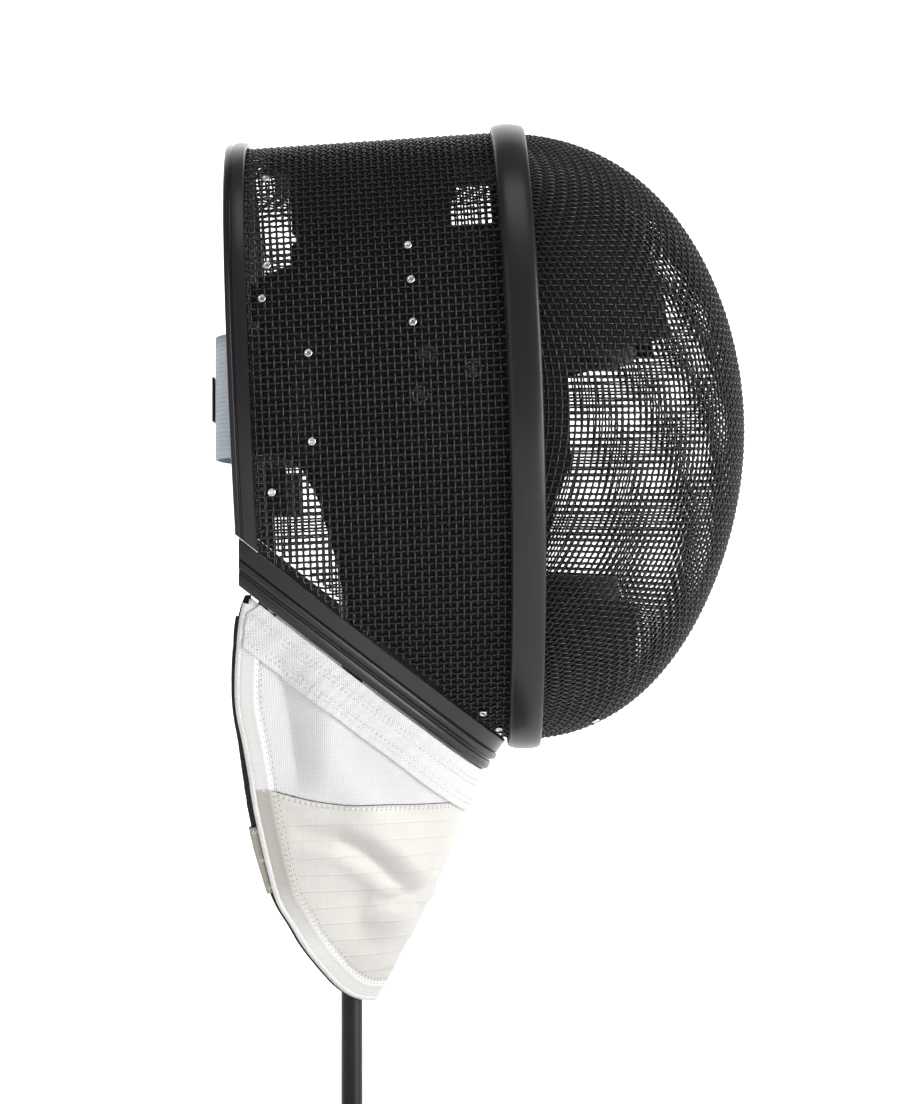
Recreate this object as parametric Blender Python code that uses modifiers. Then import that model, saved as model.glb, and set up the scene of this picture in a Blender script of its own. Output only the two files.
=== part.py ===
"""A fencing mask on a plain display stand. Metres, +Z up, the face looks along +X.

The origin is the middle of the foot's underside, on the axis of the rod. Every wall of the
head follows one egg shape, so each piece is placed by its share of the way round, up or along.
"""

import math

import bmesh
import bpy
from mathutils import Vector

# The woven head
WEAVE_WALL = 0.0020  # woven wire with its black coat, taken as one wall
HEAD_HEIGHT = 0.2818  # chin to crown, at the face band
HEAD_WIDTH = 0.1970  # across the band, before the egg widens its upper half
CHIN_Z = 0.2136  # lowest point of the woven front above the table
FRONT_DEPTH = 0.1026  # face band to the foremost point
FRONT_SLANT = 0.0060  # the brow stands further forward than the mouth
FRONT_FULLNESS = 0.0100  # what the brow and the chin add to an even oval
CROWN_LENGTH = 0.1280  # face band to the rear edge
CROWN_DROP = 0.0076  # how far the crown comes down towards the back
CROWN_LIFT = 0.0009  # how far the crown stands over the front at the band
REAR_WIDTH = 0.1880  # across the rear edge
EGG_TAPER = 0.13  # share by which the brow is wider and the jaw narrower
SIDE_POWER = 2.4  # 2 is an oval, more gives flatter sides

# The face band between the front and the crown
BAND_X = 0.0805  # middle of the band, ahead of the rod
BAND_LEAN = 0.0041  # the band leans back towards the crown
BAND_BOW = 0.0039  # and is bowed forwards in the middle
BAND_WIDTH = 0.0155
BAND_HEIGHT = 0.0029  # of its outer cap
BAND_LIP = 0.0015  # of its inner cap
BAND_INNER_WIDTH = 0.0100
BAND_WEB = 0.0020  # between the two woven parts

# The trims of the rear edge and of the jaw
REAR_LEAN = 0.0058  # the rear edge leans back towards the crown
REAR_TRIM_WIDTH = 0.0098
REAR_TRIM_BEHIND = 0.0044  # how much of that width lies behind the rear edge
TRIM_WALL = 0.0026
JAW_ANGLE = math.radians(38.1)  # of the jaw's cut below the horizontal
JAW_BEHIND_BAND = 0.0102  # the cut's lowest point, behind the middle of the band
JAW_TRIM_WIDTH = 0.0170
JAW_TRIM_WALL = 0.0056
JAW_TRIM_BEHIND = 0.0030  # how far its ends stand out behind the rear edge
JAW_TRIM_REAR = JAW_TRIM_WIDTH * math.sin(JAW_ANGLE) + 0.0010  # how far its cut leans forwards

# The bib
BIB_WALL = 0.0018
BIB_TIP_X = 0.0110
BIB_TIP_Z = 0.0915
SEAM_Z = 0.1850  # where the white cloth meets the metal cloth
TAPE_WIDTH = 0.0205  # doubled cloth under the jaw trim
TAPE_WALL = 0.0012
BINDING_WIDTH = 0.0030
BIB_MARGIN = 0.020  # share of the bib left off at each rear corner
BIB_BULGE = 0.0040
NECK_X = -0.0170  # middle of the neck, which the bib bulges away from
EDGING_WIDTH = 0.0110
EDGING_REACH = 0.0026  # how far the dark edging shows past the binding
EDGING_WALL = 0.0012
KEEPER_WALL = 0.0010
KEEPER_START = 0.235  # share of the free edge where the keeper begins
KEEPER_END = 0.305
CORNER_TAB_LENGTH = 0.0100
CORNER_TAB_LEAN = 0.0030
CORNER_TAB_WIDTH = 0.0090

# Inside the head
PAD_THICKNESS = 0.0100
PAD_EASE = 0.0020  # how far a pad draws in towards its rim
PAD_OVER_JAW = 0.0025
PAD_OVER_CHIN = 0.0135
SIDE_PAD_TOP = 0.72
BROW_REACH = 0.0500  # how far the forehead pad bows out ahead of the band
CHIN_REACH = 0.0400
BOW_POWER = 2.8  # 2 is an oval, more gives a bow with straighter ends
TAB_WALL = 0.0012
STRAP_ALONG = 0.750  # where it is riveted, as a share of the crown's length
STRAP_WIDTH = 0.0560
STRAP_WALL = 0.0018
STRAP_BEHIND = 0.0145  # how far its bow stands out behind the rear edge
STRAP_PAST_RIVET = 0.0030  # how far its ends reach forwards of their rivets
STRAP_POWER = 3.0
STRAP_OVER_RIVET = 0.0100
PATCH_HEIGHT = 0.0200
PATCH_WALL = 0.0012
PATCH_TURN = math.radians(14)  # half of what it covers of the strap's bow
RIVET_RADIUS = 0.0019
RIVET_HEIGHT = 0.0013
SNAP_RADIUS = 0.0045
SNAP_HEIGHT = 0.0014

# The stand
ROD_RADIUS = 0.0050
FOOT_RADIUS = 0.1050
FOOT_HEIGHT = 0.0100
FOOT_ROUND = 0.0040
FOOT_CHAMFER = 0.0015
REST_RADIUS = 0.0300  # of the rounded head that carries the crown
REST_HEIGHT = 0.0160
REST_ROUND = 0.0070  # how far its top falls away at the rim
REST_SLOPE = 0.0004  # the roof's fall over the rest's middle

GAP = 0.0003  # between two pieces that touch
OUTLINE_STEPS = 44  # straight lengths round the band

# Shares of the crown's length from the band, and of the half height over its middle
RIVETS = (
    # name, along, up
    ("rear_top", 0.882, 0.846),
    ("rear_upper", 0.883, 0.538),
    ("tab_upper", 0.905, 0.427),
    ("strap_upper", STRAP_ALONG, 0.248),
    ("strap_lower", STRAP_ALONG, -0.032),
    ("tab_lower", 0.898, -0.192),
    ("pad_top", 0.387, 0.594),
    ("pad_middle", 0.383, 0.482),
    ("pad_lower", 0.383, 0.345),
    ("chin", 0.161, -0.901),
)
SNAPS = (
    # name, along, up
    ("rear", 0.339, 0.246),
    ("front", 0.182, 0.197),
    ("lower", 0.369, 0.116),
)
TABS = (
    # name, from and to along, from and to up
    ("upper", 0.860, 0.945, 0.350, 0.480),
    ("lower", 0.850, 0.925, -0.265, -0.110),
)
# The side pad's edges, as shares of the pad's height from its foot to its top
SIDE_PAD = (
    # up, rear edge and front edge as shares of the crown's length, from the band backwards
    (0.00, 0.58, -0.02),
    (0.25, 0.71, -0.03),
    (0.50, 0.78, -0.15),
    (0.75, 0.82, -0.05),
    (1.00, 0.72, -0.02),
)
# The bib's free edge from the rear corner to the tip, as shares of its reach down, of its
# reach forward and of the jaw's half width at the corner
BIB_EDGE = (
    # down, forward, outward
    (0.000, 0.000, 1.00),
    (0.049, -0.038, 0.99),
    (0.114, -0.065, 0.97),
    (0.255, -0.078, 0.90),
    (0.355, -0.022, 0.84),
    (0.446, 0.025, 0.79),
    (0.516, 0.055, 0.75),
    (0.655, 0.153, 0.66),
    (0.738, 0.229, 0.60),
    (0.800, 0.345, 0.53),
    (0.860, 0.458, 0.45),
    (0.950, 0.690, 0.29),
    (0.990, 0.860, 0.14),
    (1.000, 1.000, 0.00),
)
# Dents in the bib: where, how wide and how deep
BIB_DENTS = (
    # across (0 rear corner, 1 middle), down, size across, size down, depth in metres
    (0.80, 0.72, 0.07, 0.13, 0.0050),
    (0.90, 0.50, 0.05, 0.10, -0.0030),
    (0.62, 0.45, 0.10, 0.10, -0.0020),
)

SIDE_PAD_INSET = WEAVE_WALL / 2 + BAND_LIP + 4 * GAP
HALF_HEIGHT = HEAD_HEIGHT / 2
HALF_WIDTH = HEAD_WIDTH / 2
MIDDLE_Z = CHIN_Z + HALF_HEIGHT
DOWN_JAW = Vector((-math.sin(JAW_ANGLE), 0, -math.cos(JAW_ANGLE)))


def mix(start, end, share):
    return start + (end - start) * share


def spread(start, end, count):
    return [mix(start, end, step / (count - 1)) for step in range(count)]


def new_collection(name):
    collection = bpy.data.collections.new(name)
    bpy.context.scene.collection.children.link(collection)
    return collection


def clear_scene():
    for item in list(bpy.data.objects):
        bpy.data.objects.remove(item, do_unlink=True)


clear_scene()
MASK = new_collection("fencing_mask")


def material(name, colour, roughness, metallic=0.0):
    made = bpy.data.materials.new(name)
    made.use_nodes = True
    shader = made.node_tree.nodes["Principled BSDF"]
    shader.inputs["Base Color"].default_value = (*colour, 1)
    shader.inputs["Roughness"].default_value = roughness
    shader.inputs["Metallic"].default_value = metallic
    return made


WIRE = material("coated_wire", (0.012, 0.012, 0.013), 0.38)
TRIM = material("moulded_trim", (0.022, 0.022, 0.025), 0.34)
WHITE_CLOTH = material("white_cloth", (0.80, 0.80, 0.79), 0.85)
METAL_CLOTH = material("metal_cloth", (0.56, 0.52, 0.48), 0.55, 0.35)
BINDING = material("binding_tape", (0.62, 0.58, 0.53), 0.85)
ELASTIC = material("elastic", (0.66, 0.62, 0.55), 0.9)
DARK_WEBBING = material("dark_webbing", (0.015, 0.015, 0.017), 0.85)
PADDING = material("padding_cloth", (0.010, 0.010, 0.012), 0.8)
STRAP_CLOTH = material("strap_cloth", (0.50, 0.55, 0.58), 0.85)
NICKEL = material("nickel", (0.72, 0.70, 0.66), 0.22, 1.0)
SNAP_PLASTIC = material("snap_plastic", (0.010, 0.010, 0.011), 0.2)
STAND_PAINT = material("stand_paint", (0.014, 0.014, 0.015), 0.35)


def finished(name, mesh, finish):
    mesh.materials.append(finish)
    mesh.shade_smooth()
    mesh.set_sharp_from_angle(angle=math.radians(35))
    made = bpy.data.objects.new(name, mesh)
    MASK.objects.link(made)
    return made


def grid_mesh(name, rows):
    """An open sheet through rows of points, all the same length."""
    cage = bmesh.new()
    corners = [[cage.verts.new(point) for point in row] for row in rows]
    for lower, upper in zip(corners, corners[1:]):
        for index in range(len(lower) - 1):
            cage.faces.new((lower[index], lower[index + 1], upper[index + 1], upper[index]))
    mesh = bpy.data.meshes.new(name)
    cage.to_mesh(mesh)
    cage.free()
    return mesh


def cut_mesh(mesh, point, away):
    """Takes off what lies past the plane through point, on the side that away points to."""
    cage = bmesh.new()
    cage.from_mesh(mesh)
    everything = cage.verts[:] + cage.edges[:] + cage.faces[:]
    bmesh.ops.bisect_plane(
        cage, geom=everything, dist=1e-6, plane_co=point, plane_no=away, clear_outer=True
    )
    bmesh.ops.remove_doubles(cage, verts=cage.verts[:], dist=1e-5)
    cage.to_mesh(mesh)
    cage.free()


def wall(name, mesh, finish, thickness, offset=0.0):
    """The sheet with a thickness: offset 0 puts it in the middle, 1 and -1 to either side."""
    made = finished(name, mesh, finish)
    solidify = made.modifiers.new("wall", "SOLIDIFY")
    solidify.thickness = thickness
    solidify.offset = offset
    return made


def resample(points, count):
    """Points at equal distances along a path."""
    reach = [0.0]
    for here, there in zip(points, points[1:]):
        reach.append(reach[-1] + (there - here).length)
    spaced = []
    index = 0
    for step in range(count):
        wanted = reach[-1] * step / (count - 1)
        while index < len(points) - 2 and reach[index + 1] < wanted:
            index += 1
        span = reach[index + 1] - reach[index]
        spaced.append(points[index].lerp(points[index + 1], (wanted - reach[index]) / span))
    return spaced


def swept_mesh(name, path, profile, across, closed=False):
    """A profile of (across, out) points carried along a path on the head's surface.

    across holds, for each point of the path, the direction that the profile's first value is
    measured in. out points away from the middle of the head.
    """
    cage = bmesh.new()
    rings = []
    last = len(path) - 1
    middle = Vector((0, 0, MIDDLE_Z))
    for index, point in enumerate(path):
        before = path[index - 1] if index or closed else point
        after = path[(index + 1) % len(path)] if index < last or closed else point
        along = (after - before).normalized()
        width = (across[index] - along * across[index].dot(along)).normalized()
        out = along.cross(width)
        away = point - middle
        away.x = 0
        if out.dot(away) < 0:
            out.negate()
        rings.append([cage.verts.new(point + width * a + out * b) for a, b in profile])
    pairs = list(zip(rings, rings[1:]))
    if closed:
        pairs.append((rings[-1], rings[0]))
    size = len(profile)
    for here, there in pairs:
        for index in range(size):
            nxt = (index + 1) % size
            cage.faces.new((here[index], here[nxt], there[nxt], there[index]))
    if not closed:
        cage.faces.new(rings[0])
        cage.faces.new(rings[-1])
    bmesh.ops.recalc_face_normals(cage, faces=cage.faces[:])
    mesh = bpy.data.meshes.new(name)
    cage.to_mesh(mesh)
    cage.free()
    return mesh


def cut_solid(mesh, point, away):
    """The closed solid cut by a plane, with the cut filled again."""
    cage = bmesh.new()
    cage.from_mesh(mesh)
    everything = cage.verts[:] + cage.edges[:] + cage.faces[:]
    cut = bmesh.ops.bisect_plane(
        cage, geom=everything, dist=1e-6, plane_co=point, plane_no=away, clear_outer=True
    )
    rim = [item for item in cut["geom_cut"] if isinstance(item, bmesh.types.BMEdge)]
    bmesh.ops.edgeloop_fill(cage, edges=rim)
    bmesh.ops.recalc_face_normals(cage, faces=cage.faces[:])
    cage.to_mesh(mesh)
    cage.free()


def turned(name, profile, finish, steps):
    """A profile of (radius, height) turned about +Z, from the middle of its top down."""
    mesh = bpy.data.meshes.new(name)
    points = [(radius, 0, height) for radius, height in profile]
    edges = [(index, index + 1) for index in range(len(points) - 1)]
    mesh.from_pydata(points, edges, [])
    made = finished(name, mesh, finish)
    screw = made.modifiers.new("turned", "SCREW")
    screw.steps = steps
    screw.render_steps = steps
    screw.use_merge_vertices = True
    screw.merge_threshold = 0.00001
    return made


def band_x(up):
    """The face band's middle, at a share of the half height over the head's middle."""
    return BAND_X - BAND_LEAN * up - BAND_BOW * up * up


def rear_x(up):
    return BAND_X - CROWN_LENGTH - REAR_LEAN * up


def egg_half_width(up, round_share, inset):
    """Half the width at a height, where round_share is what the depth leaves of the width."""
    return (HALF_WIDTH - inset) * (1 + EGG_TAPER * up) * round_share ** (1 / SIDE_POWER)


def front_depth(up, inset):
    return FRONT_DEPTH + FRONT_SLANT * up + FRONT_FULLNESS * up**4 - inset


def front_point(up, turn, inset=0.0):
    """A point of the woven front: turn runs from -90 to 90 degrees, 0 is straight ahead."""
    level = math.sqrt(max(0.0, 1 - up * up))
    side = egg_half_width(up, (level * math.sin(turn)) ** 2, inset)
    return Vector(
        (
            band_x(up) + front_depth(up, inset) * level * math.cos(turn),
            math.copysign(side, turn),
            MIDDLE_Z + (HALF_HEIGHT - inset) * up,
        )
    )


def crown_point(around, along, inset=0.0):
    """A point of the crown: around is 0 at the top, along runs from the band to the rear."""
    up = math.cos(around)
    narrowing = 1 - (1 - REAR_WIDTH / HEAD_WIDTH) * max(along, 0) ** 1.4
    side = egg_half_width(up, math.sin(around) ** 2, inset) * narrowing
    lift = CROWN_LIFT * (1 - along) - CROWN_DROP * along
    return Vector(
        (
            mix(band_x(up), rear_x(up), along),
            math.copysign(side, math.sin(around)),
            MIDDLE_Z + (HALF_HEIGHT - inset) * up + lift * max(up, 0) ** 2,
        )
    )


def outline_point(around):
    """A point of the egg itself, where the woven front and the crown meet."""
    up = math.cos(around)
    side = egg_half_width(up, math.sin(around) ** 2, 0)
    return Vector((band_x(up), math.copysign(side, math.sin(around)), MIDDLE_Z + HALF_HEIGHT * up))


def even_turns(count):
    """Turns at equal distances round the egg, from under the chin over the crown and back."""
    fine = spread(-math.pi, math.pi, 721)
    places = [outline_point(turn) for turn in fine]
    reach = [0.0]
    for here, there in zip(places, places[1:]):
        reach.append(reach[-1] + (there - here).length)
    turns = []
    index = 0
    for step in range(count + 1):
        wanted = reach[-1] * step / count
        while index < len(fine) - 2 and reach[index + 1] < wanted:
            index += 1
        share = (wanted - reach[index]) / (reach[index + 1] - reach[index])
        turns.append(mix(fine[index], fine[index + 1], share))
    return turns


TURNS = even_turns(OUTLINE_STEPS)


def crown_normal(around, along):
    step = 0.01
    across = crown_point(around + step, along) - crown_point(around - step, along)
    length = crown_point(around, along + step) - crown_point(around, along - step)
    normal = across.cross(length).normalized()
    away = crown_point(around, along) - Vector((BAND_X, 0, MIDDLE_Z))
    away.x = 0
    return normal if normal.dot(away) > 0 else -normal


JAW_POINT = Vector((band_x(-1) - JAW_BEHIND_BAND, 0, CHIN_Z))


def below_jaw(point):
    """How far a point lies past the jaw's cut."""
    return (point - JAW_POINT).dot(DOWN_JAW)


def jaw_point(around):
    """Where the crown's wall meets the jaw's cut."""
    near, far = -0.3, 1.6
    for _ in range(40):
        middle = (near + far) / 2
        if below_jaw(crown_point(around, middle)) < 0:
            near = middle
        else:
            far = middle
    return crown_point(around, near)


def corner_angle():
    """How far round the crown the jaw's cut reaches the rear edge."""
    above, below = math.pi / 3, math.pi
    for _ in range(40):
        middle = (above + below) / 2
        if below_jaw(crown_point(middle, 1.0)) > 0:
            below = middle
        else:
            above = middle
    return above


CORNER_ANGLE = corner_angle()
CORNER = crown_point(CORNER_ANGLE, 1.0)


def jaw_path(count, past=0.0):
    """The jaw's cut from the right rear corner round the chin to the left one.

    past starts it that much further round, behind the corner when it is above 0.
    """
    start = -CORNER_ANGLE + past
    turns = [mix(start, -(2 * math.pi + start), step / 240) for step in range(241)]
    return resample([jaw_point(turn) for turn in turns], count)


def front_dome():
    """The woven front, from its foremost point out to the band, ring by ring."""
    cage = bmesh.new()
    around = TURNS[:-1]
    rings = []
    rim_tilt = math.pi / 2 - (BAND_WEB / 2 + GAP) / FRONT_DEPTH
    for tilt in spread(0.12, 1, 9):
        ring = []
        for turn in around:
            up = math.sin(tilt * rim_tilt) * math.cos(turn)
            level = math.sqrt(1 - up * up)
            ahead = math.cos(tilt * rim_tilt) / level
            swing = math.copysign(math.acos(min(1, ahead)), math.sin(turn))
            ring.append(cage.verts.new(front_point(up, swing)))
        rings.append(ring)
    nose = cage.verts.new(front_point(0, 0))
    for index in range(len(around)):
        nxt = (index + 1) % len(around)
        cage.faces.new((nose, rings[0][index], rings[0][nxt]))
        for inner, outer in zip(rings, rings[1:]):
            cage.faces.new((inner[index], outer[index], outer[nxt], inner[nxt]))
    bmesh.ops.recalc_face_normals(cage, faces=cage.faces[:])
    mesh = bpy.data.meshes.new("front_mesh")
    cage.to_mesh(mesh)
    cage.free()
    return wall("front_mesh", mesh, WIRE, WEAVE_WALL)


def crown():
    """The crown: a sleeve from the band to the rear edge, cut along the jaw."""
    start = (BAND_WEB / 2 + GAP) / CROWN_LENGTH
    rows = [[crown_point(turn, along) for turn in TURNS] for along in spread(start, 1, 7)]
    mesh = grid_mesh("crown_mesh", rows)
    cage = bmesh.new()
    cage.from_mesh(mesh)
    bmesh.ops.remove_doubles(cage, verts=cage.verts[:], dist=1e-5)
    cage.to_mesh(mesh)
    cage.free()
    sleeve = wall("crown_sleeve", mesh, WIRE, WEAVE_WALL)
    solid = applied(sleeve)
    cut_solid(solid, JAW_POINT - DOWN_JAW * GAP, DOWN_JAW)
    return finished("crown_mesh", solid, WIRE)


def applied(made):
    """The object's mesh with its modifiers applied. The object is removed."""
    bpy.context.view_layer.update()
    graph = bpy.context.evaluated_depsgraph_get()
    mesh = bpy.data.meshes.new_from_object(made.evaluated_get(graph))
    bpy.data.objects.remove(made, do_unlink=True)
    mesh.materials.clear()
    return mesh


def face_band():
    """An I-shaped band: a rounded outer cap, an inner cap and the web between the weaves."""
    half = BAND_WIDTH / 2
    inner = BAND_INNER_WIDTH / 2
    web = BAND_WEB / 2
    seat = WEAVE_WALL / 2 + 2 * GAP
    top = seat + CROWN_LIFT
    profile = [
        (-half, top),
        (-half * 0.90, top + BAND_HEIGHT * 0.45),
        (-half * 0.58, top + BAND_HEIGHT * 0.85),
        (0, top + BAND_HEIGHT),
        (half * 0.58, top + BAND_HEIGHT * 0.85),
        (half * 0.90, top + BAND_HEIGHT * 0.45),
        (half, top),
        (web, top),
        (web, -seat),
        (inner, -seat),
        (inner, -seat - BAND_LIP),
        (-inner, -seat - BAND_LIP),
        (-inner, -seat),
        (-web, -seat),
        (-web, top),
    ]
    path = [outline_point(turn) for turn in TURNS[:-1]]
    mesh = swept_mesh("face_band", path, profile, [Vector((1, 0, 0))] * len(path), closed=True)
    return finished("face_band", mesh, TRIM)


def rear_trim():
    """A channel over the rear edge, from one jaw corner over the crown to the other."""
    back = REAR_TRIM_BEHIND
    front = back - REAR_TRIM_WIDTH
    seat = WEAVE_WALL / 2 + GAP
    outer = seat + TRIM_WALL
    profile = [
        (front, seat),
        (front, outer - TRIM_WALL * 0.40),
        (front * 0.62, outer),
        (0, outer),
        (back * 0.35, outer - TRIM_WALL * 0.35),
        (back * 0.80, outer - TRIM_WALL * 0.25),
        (back, outer - TRIM_WALL * 0.60),
        (back, TRIM_WALL * 0.60 - outer),
        (back * 0.75, TRIM_WALL * 0.15 - outer),
        (front, TRIM_WALL * 0.15 - outer),
        (front, -seat),
        (GAP, -seat),
        (GAP, seat),
    ]
    turns = [turn for turn in TURNS if abs(turn) < CORNER_ANGLE + 0.25]
    path = [crown_point(turn, 1.0) for turn in turns]
    rearward = [crown_point(turn, 1.0) - crown_point(turn, 0.95) for turn in turns]
    mesh = swept_mesh("rear_trim", path, profile, rearward)
    cut_solid(mesh, JAW_POINT - DOWN_JAW * GAP, DOWN_JAW)
    return finished("rear_trim", mesh, TRIM)


def jaw_trim():
    """Two beads and the groove between them, under the jaw's cut."""
    half = JAW_TRIM_WALL / 2
    width = JAW_TRIM_WIDTH
    profile = [
        (0, half * 0.7),
        (width * 0.28, half * 0.8),
        (width * 0.36, half * 1.25),
        (width * 0.52, half * 1.25),
        (width * 0.62, half * 0.75),
        (width * 0.72, half * 1.25),
        (width * 0.90, half * 1.25),
        (width, half * 0.6),
        (width, -half * 0.6),
        (width * 0.80, -half),
        (0, -half * 0.7),
    ]
    path = jaw_path(33, past=0.07)
    mesh = swept_mesh("jaw_trim", path, profile, [DOWN_JAW] * len(path))
    rear = rear_x((CORNER.z - MIDDLE_Z) / HALF_HEIGHT) - JAW_TRIM_BEHIND
    cut_solid(mesh, Vector((rear, 0, 0)), Vector((-1, 0, 0)))
    return finished("jaw_trim", mesh, TRIM)


def bib_edge_point(share):
    """The bib's free edge on the right side: share is 0 at the rear corner, 1 at the tip."""
    place = share * (len(BIB_EDGE) - 1)
    index = min(int(place), len(BIB_EDGE) - 2)
    rows = [BIB_EDGE[max(0, min(len(BIB_EDGE) - 1, index + step))] for step in (-1, 0, 1, 2)]
    down, forward, outward = (
        smooth_between([row[column] for row in rows], place - index) for column in range(3)
    )
    start = BIB_TOP_CORNER
    return Vector(
        (
            mix(start.x, BIB_TIP_X, forward),
            start.y * outward,
            mix(start.z, BIB_TIP_Z, down),
        )
    )


def smooth_between(values, share):
    """A smooth curve through four values, read between the middle two."""
    before, start, end, after = values
    rise = (end - before) / 2
    fall = (after - start) / 2
    cube = 2 * start - 2 * end + rise + fall
    square = -3 * start + 3 * end - 2 * rise - fall
    return ((cube * share + square) * share + rise) * share + start


BIB_TOP = [
    point + DOWN_JAW * (JAW_TRIM_WIDTH + 3 * GAP)
    for point in resample([p for p in jaw_path(241) if p.x > CORNER.x + JAW_TRIM_REAR], 121)
]
BIB_TOP_CORNER = BIB_TOP[0]
RIGHT_EDGE = resample([bib_edge_point(step / 240) for step in range(241)], 61)
LEFT_EDGE = [Vector((point.x, -point.y, point.z)) for point in reversed(RIGHT_EDGE[:-1])]
BIB_FREE_EDGE = RIGHT_EDGE + LEFT_EDGE


def bib_surface(across, down):
    """The bib's middle surface: across runs from corner to corner, down from jaw to edge."""
    place = across * (len(BIB_TOP) - 1)
    index = min(int(place), len(BIB_TOP) - 2)
    top = BIB_TOP[index].lerp(BIB_TOP[index + 1], place - index)
    edge = BIB_FREE_EDGE[index].lerp(BIB_FREE_EDGE[index + 1], place - index)
    point = top.lerp(edge, down)
    out = Vector((point.x - mix(NECK_X, 0, down), point.y, 0)).normalized()
    half = 1 - abs(2 * across - 1)
    bulge = BIB_BULGE * math.sin(math.pi * min(down, 1)) * half
    for where, depth_share, wide, high, depth in BIB_DENTS:
        reach = ((half - where) / wide) ** 2 + ((down - depth_share) / high) ** 2
        bulge -= depth * math.exp(-reach)
    return point + out * bulge


def bib_normal(across, down):
    """The bib's outward direction, measured over a short step each way."""
    step = 0.01
    down = min(max(down, step), 1 - step)
    sideways = bib_surface(across + step, down) - bib_surface(across - step, down)
    downward = bib_surface(across, down + step) - bib_surface(across, down - step)
    return downward.cross(sideways).normalized()


def bib_point(across, down, lift=0.0):
    return bib_surface(across, down) + bib_normal(across, down) * lift


def bib_sheet(name, columns, rows, lift=0.0, stop=None):
    """The bib as an open sheet. stop gives how far down each column reaches."""
    stop = stop or cloth_stop
    sheet = []
    for share in spread(0, 1, rows):
        places = spread(BIB_MARGIN, 1 - BIB_MARGIN, columns)
        sheet.append([bib_point(place, share * stop(place), lift) for place in places])
    return grid_mesh(name, sheet)


def cloth_stop(across):
    """How far down the cloth reaches, as a share of the bib there: to its binding."""
    room = BINDING_WIDTH / 2 + 3 * GAP
    near, far = 0.0, 1.0
    for _ in range(20):
        middle = (near + far) / 2
        point = bib_surface(across, middle)
        if min((point - edge).length for edge in BIB_FREE_EDGE) > room:
            near = middle
        else:
            far = middle
    return near


def tape_stop(across):
    """How far down the doubled tape reaches, as a share of the bib there."""
    near, far = 0.0, cloth_stop(across)
    for _ in range(30):
        middle = (near + far) / 2
        if below_jaw(bib_point(across, middle)) < JAW_TRIM_WIDTH + GAP + TAPE_WIDTH:
            near = middle
        else:
            far = middle
    return near


def bib():
    """White cloth above and metal cloth below the seam, and the doubled tape at the top."""
    seam = Vector((0, 0, SEAM_Z))
    up = Vector((0, 0, 1))
    white = bib_sheet("bib_upper_cloth", 33, 8)
    cut_mesh(white, seam + up * GAP / 2, -up)
    wall("bib_upper_cloth", white, WHITE_CLOTH, BIB_WALL)
    metal = bib_sheet("bib_lower_cloth", 33, 9)
    cut_mesh(metal, seam - up * GAP / 2, up)
    wall("bib_lower_cloth", metal, METAL_CLOTH, BIB_WALL)
    lift = BIB_WALL / 2 + GAP + TAPE_WALL / 2
    tape = bib_sheet("bib_top_tape", 35, 3, lift, tape_stop)
    wall("bib_top_tape", tape, WHITE_CLOTH, TAPE_WALL)


def bib_edge(first, last, count):
    """Points of the free edge, each with the directions past the edge and out of the bib."""
    places = spread(first, last, count)
    edge = []
    for index, across in enumerate(places):
        point = bib_surface(across, 1.0)
        before = bib_surface(max(across - 0.01, 0.001), 1.0)
        after = bib_surface(min(across + 0.01, 0.999), 1.0)
        along = (after - before).normalized()
        out = bib_normal(across, 1.0)
        out = (out - along * out.dot(along)).normalized()
        past = along.cross(out)
        if past.dot(point - bib_surface(across, 0.9)) < 0:
            past.negate()
        edge.append((point, past, out))
    return edge


def edge_strip(name, edge, inner, outer, depth, thickness, finish):
    """A flat strip along the free edge, from inner to outer past it and depth under the cloth."""
    rows = [
        [point + past * reach + out * depth for reach in (inner, outer)]
        for point, past, out in edge
    ]
    return wall(name, grid_mesh(name, rows), finish, thickness)


def edge_rod(name, edge, radius, sides, finish):
    """A rounded binding along the free edge."""
    cage = bmesh.new()
    turns = [2 * math.pi * step / sides for step in range(sides)]
    rings = [
        [cage.verts.new(point + (past * math.cos(t) + out * math.sin(t)) * radius) for t in turns]
        for point, past, out in edge
    ]
    for here, there in zip(rings, rings[1:]):
        for index in range(sides):
            nxt = (index + 1) % sides
            cage.faces.new((here[index], here[nxt], there[nxt], there[index]))
    cage.faces.new(rings[0])
    cage.faces.new(rings[-1])
    bmesh.ops.recalc_face_normals(cage, faces=cage.faces[:])
    mesh = bpy.data.meshes.new(name)
    cage.to_mesh(mesh)
    cage.free()
    return finished(name, mesh, finish)


def bib_trimmings():
    """The binding, the dark edging behind it and the elastic keepers on the edging."""
    edge_rod("bib_binding", bib_edge(0.03, 0.97, 45), BINDING_WIDTH / 2, 5, BINDING)
    under = -(BINDING_WIDTH + EDGING_WALL) / 2 - GAP
    strip = bib_edge(0.05, 0.95, 41)
    outer = BINDING_WIDTH / 2 + EDGING_REACH
    edge_strip("bib_edging", strip, outer - EDGING_WIDTH, outer, under, EDGING_WALL, DARK_WEBBING)
    over = outer + GAP + KEEPER_WALL / 2
    pairs = (("right", KEEPER_START, KEEPER_END), ("left", 1 - KEEPER_START, 1 - KEEPER_END))
    for side, first, last in pairs:
        edge = bib_edge(first, last, 5)
        rows = [
            [
                point + past * reach + out * (under + depth)
                for reach, depth in (
                    (over, 0.5 * EDGING_WALL),
                    (over, -0.5 * EDGING_WALL - GAP - KEEPER_WALL / 2),
                    (outer - EDGING_WIDTH, -0.5 * EDGING_WALL - GAP - KEEPER_WALL / 2),
                )
            ]
            for point, past, out in edge
        ]
        name = "elastic_keeper_" + side
        wall(name, grid_mesh(name, rows), ELASTIC, KEEPER_WALL)


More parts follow.
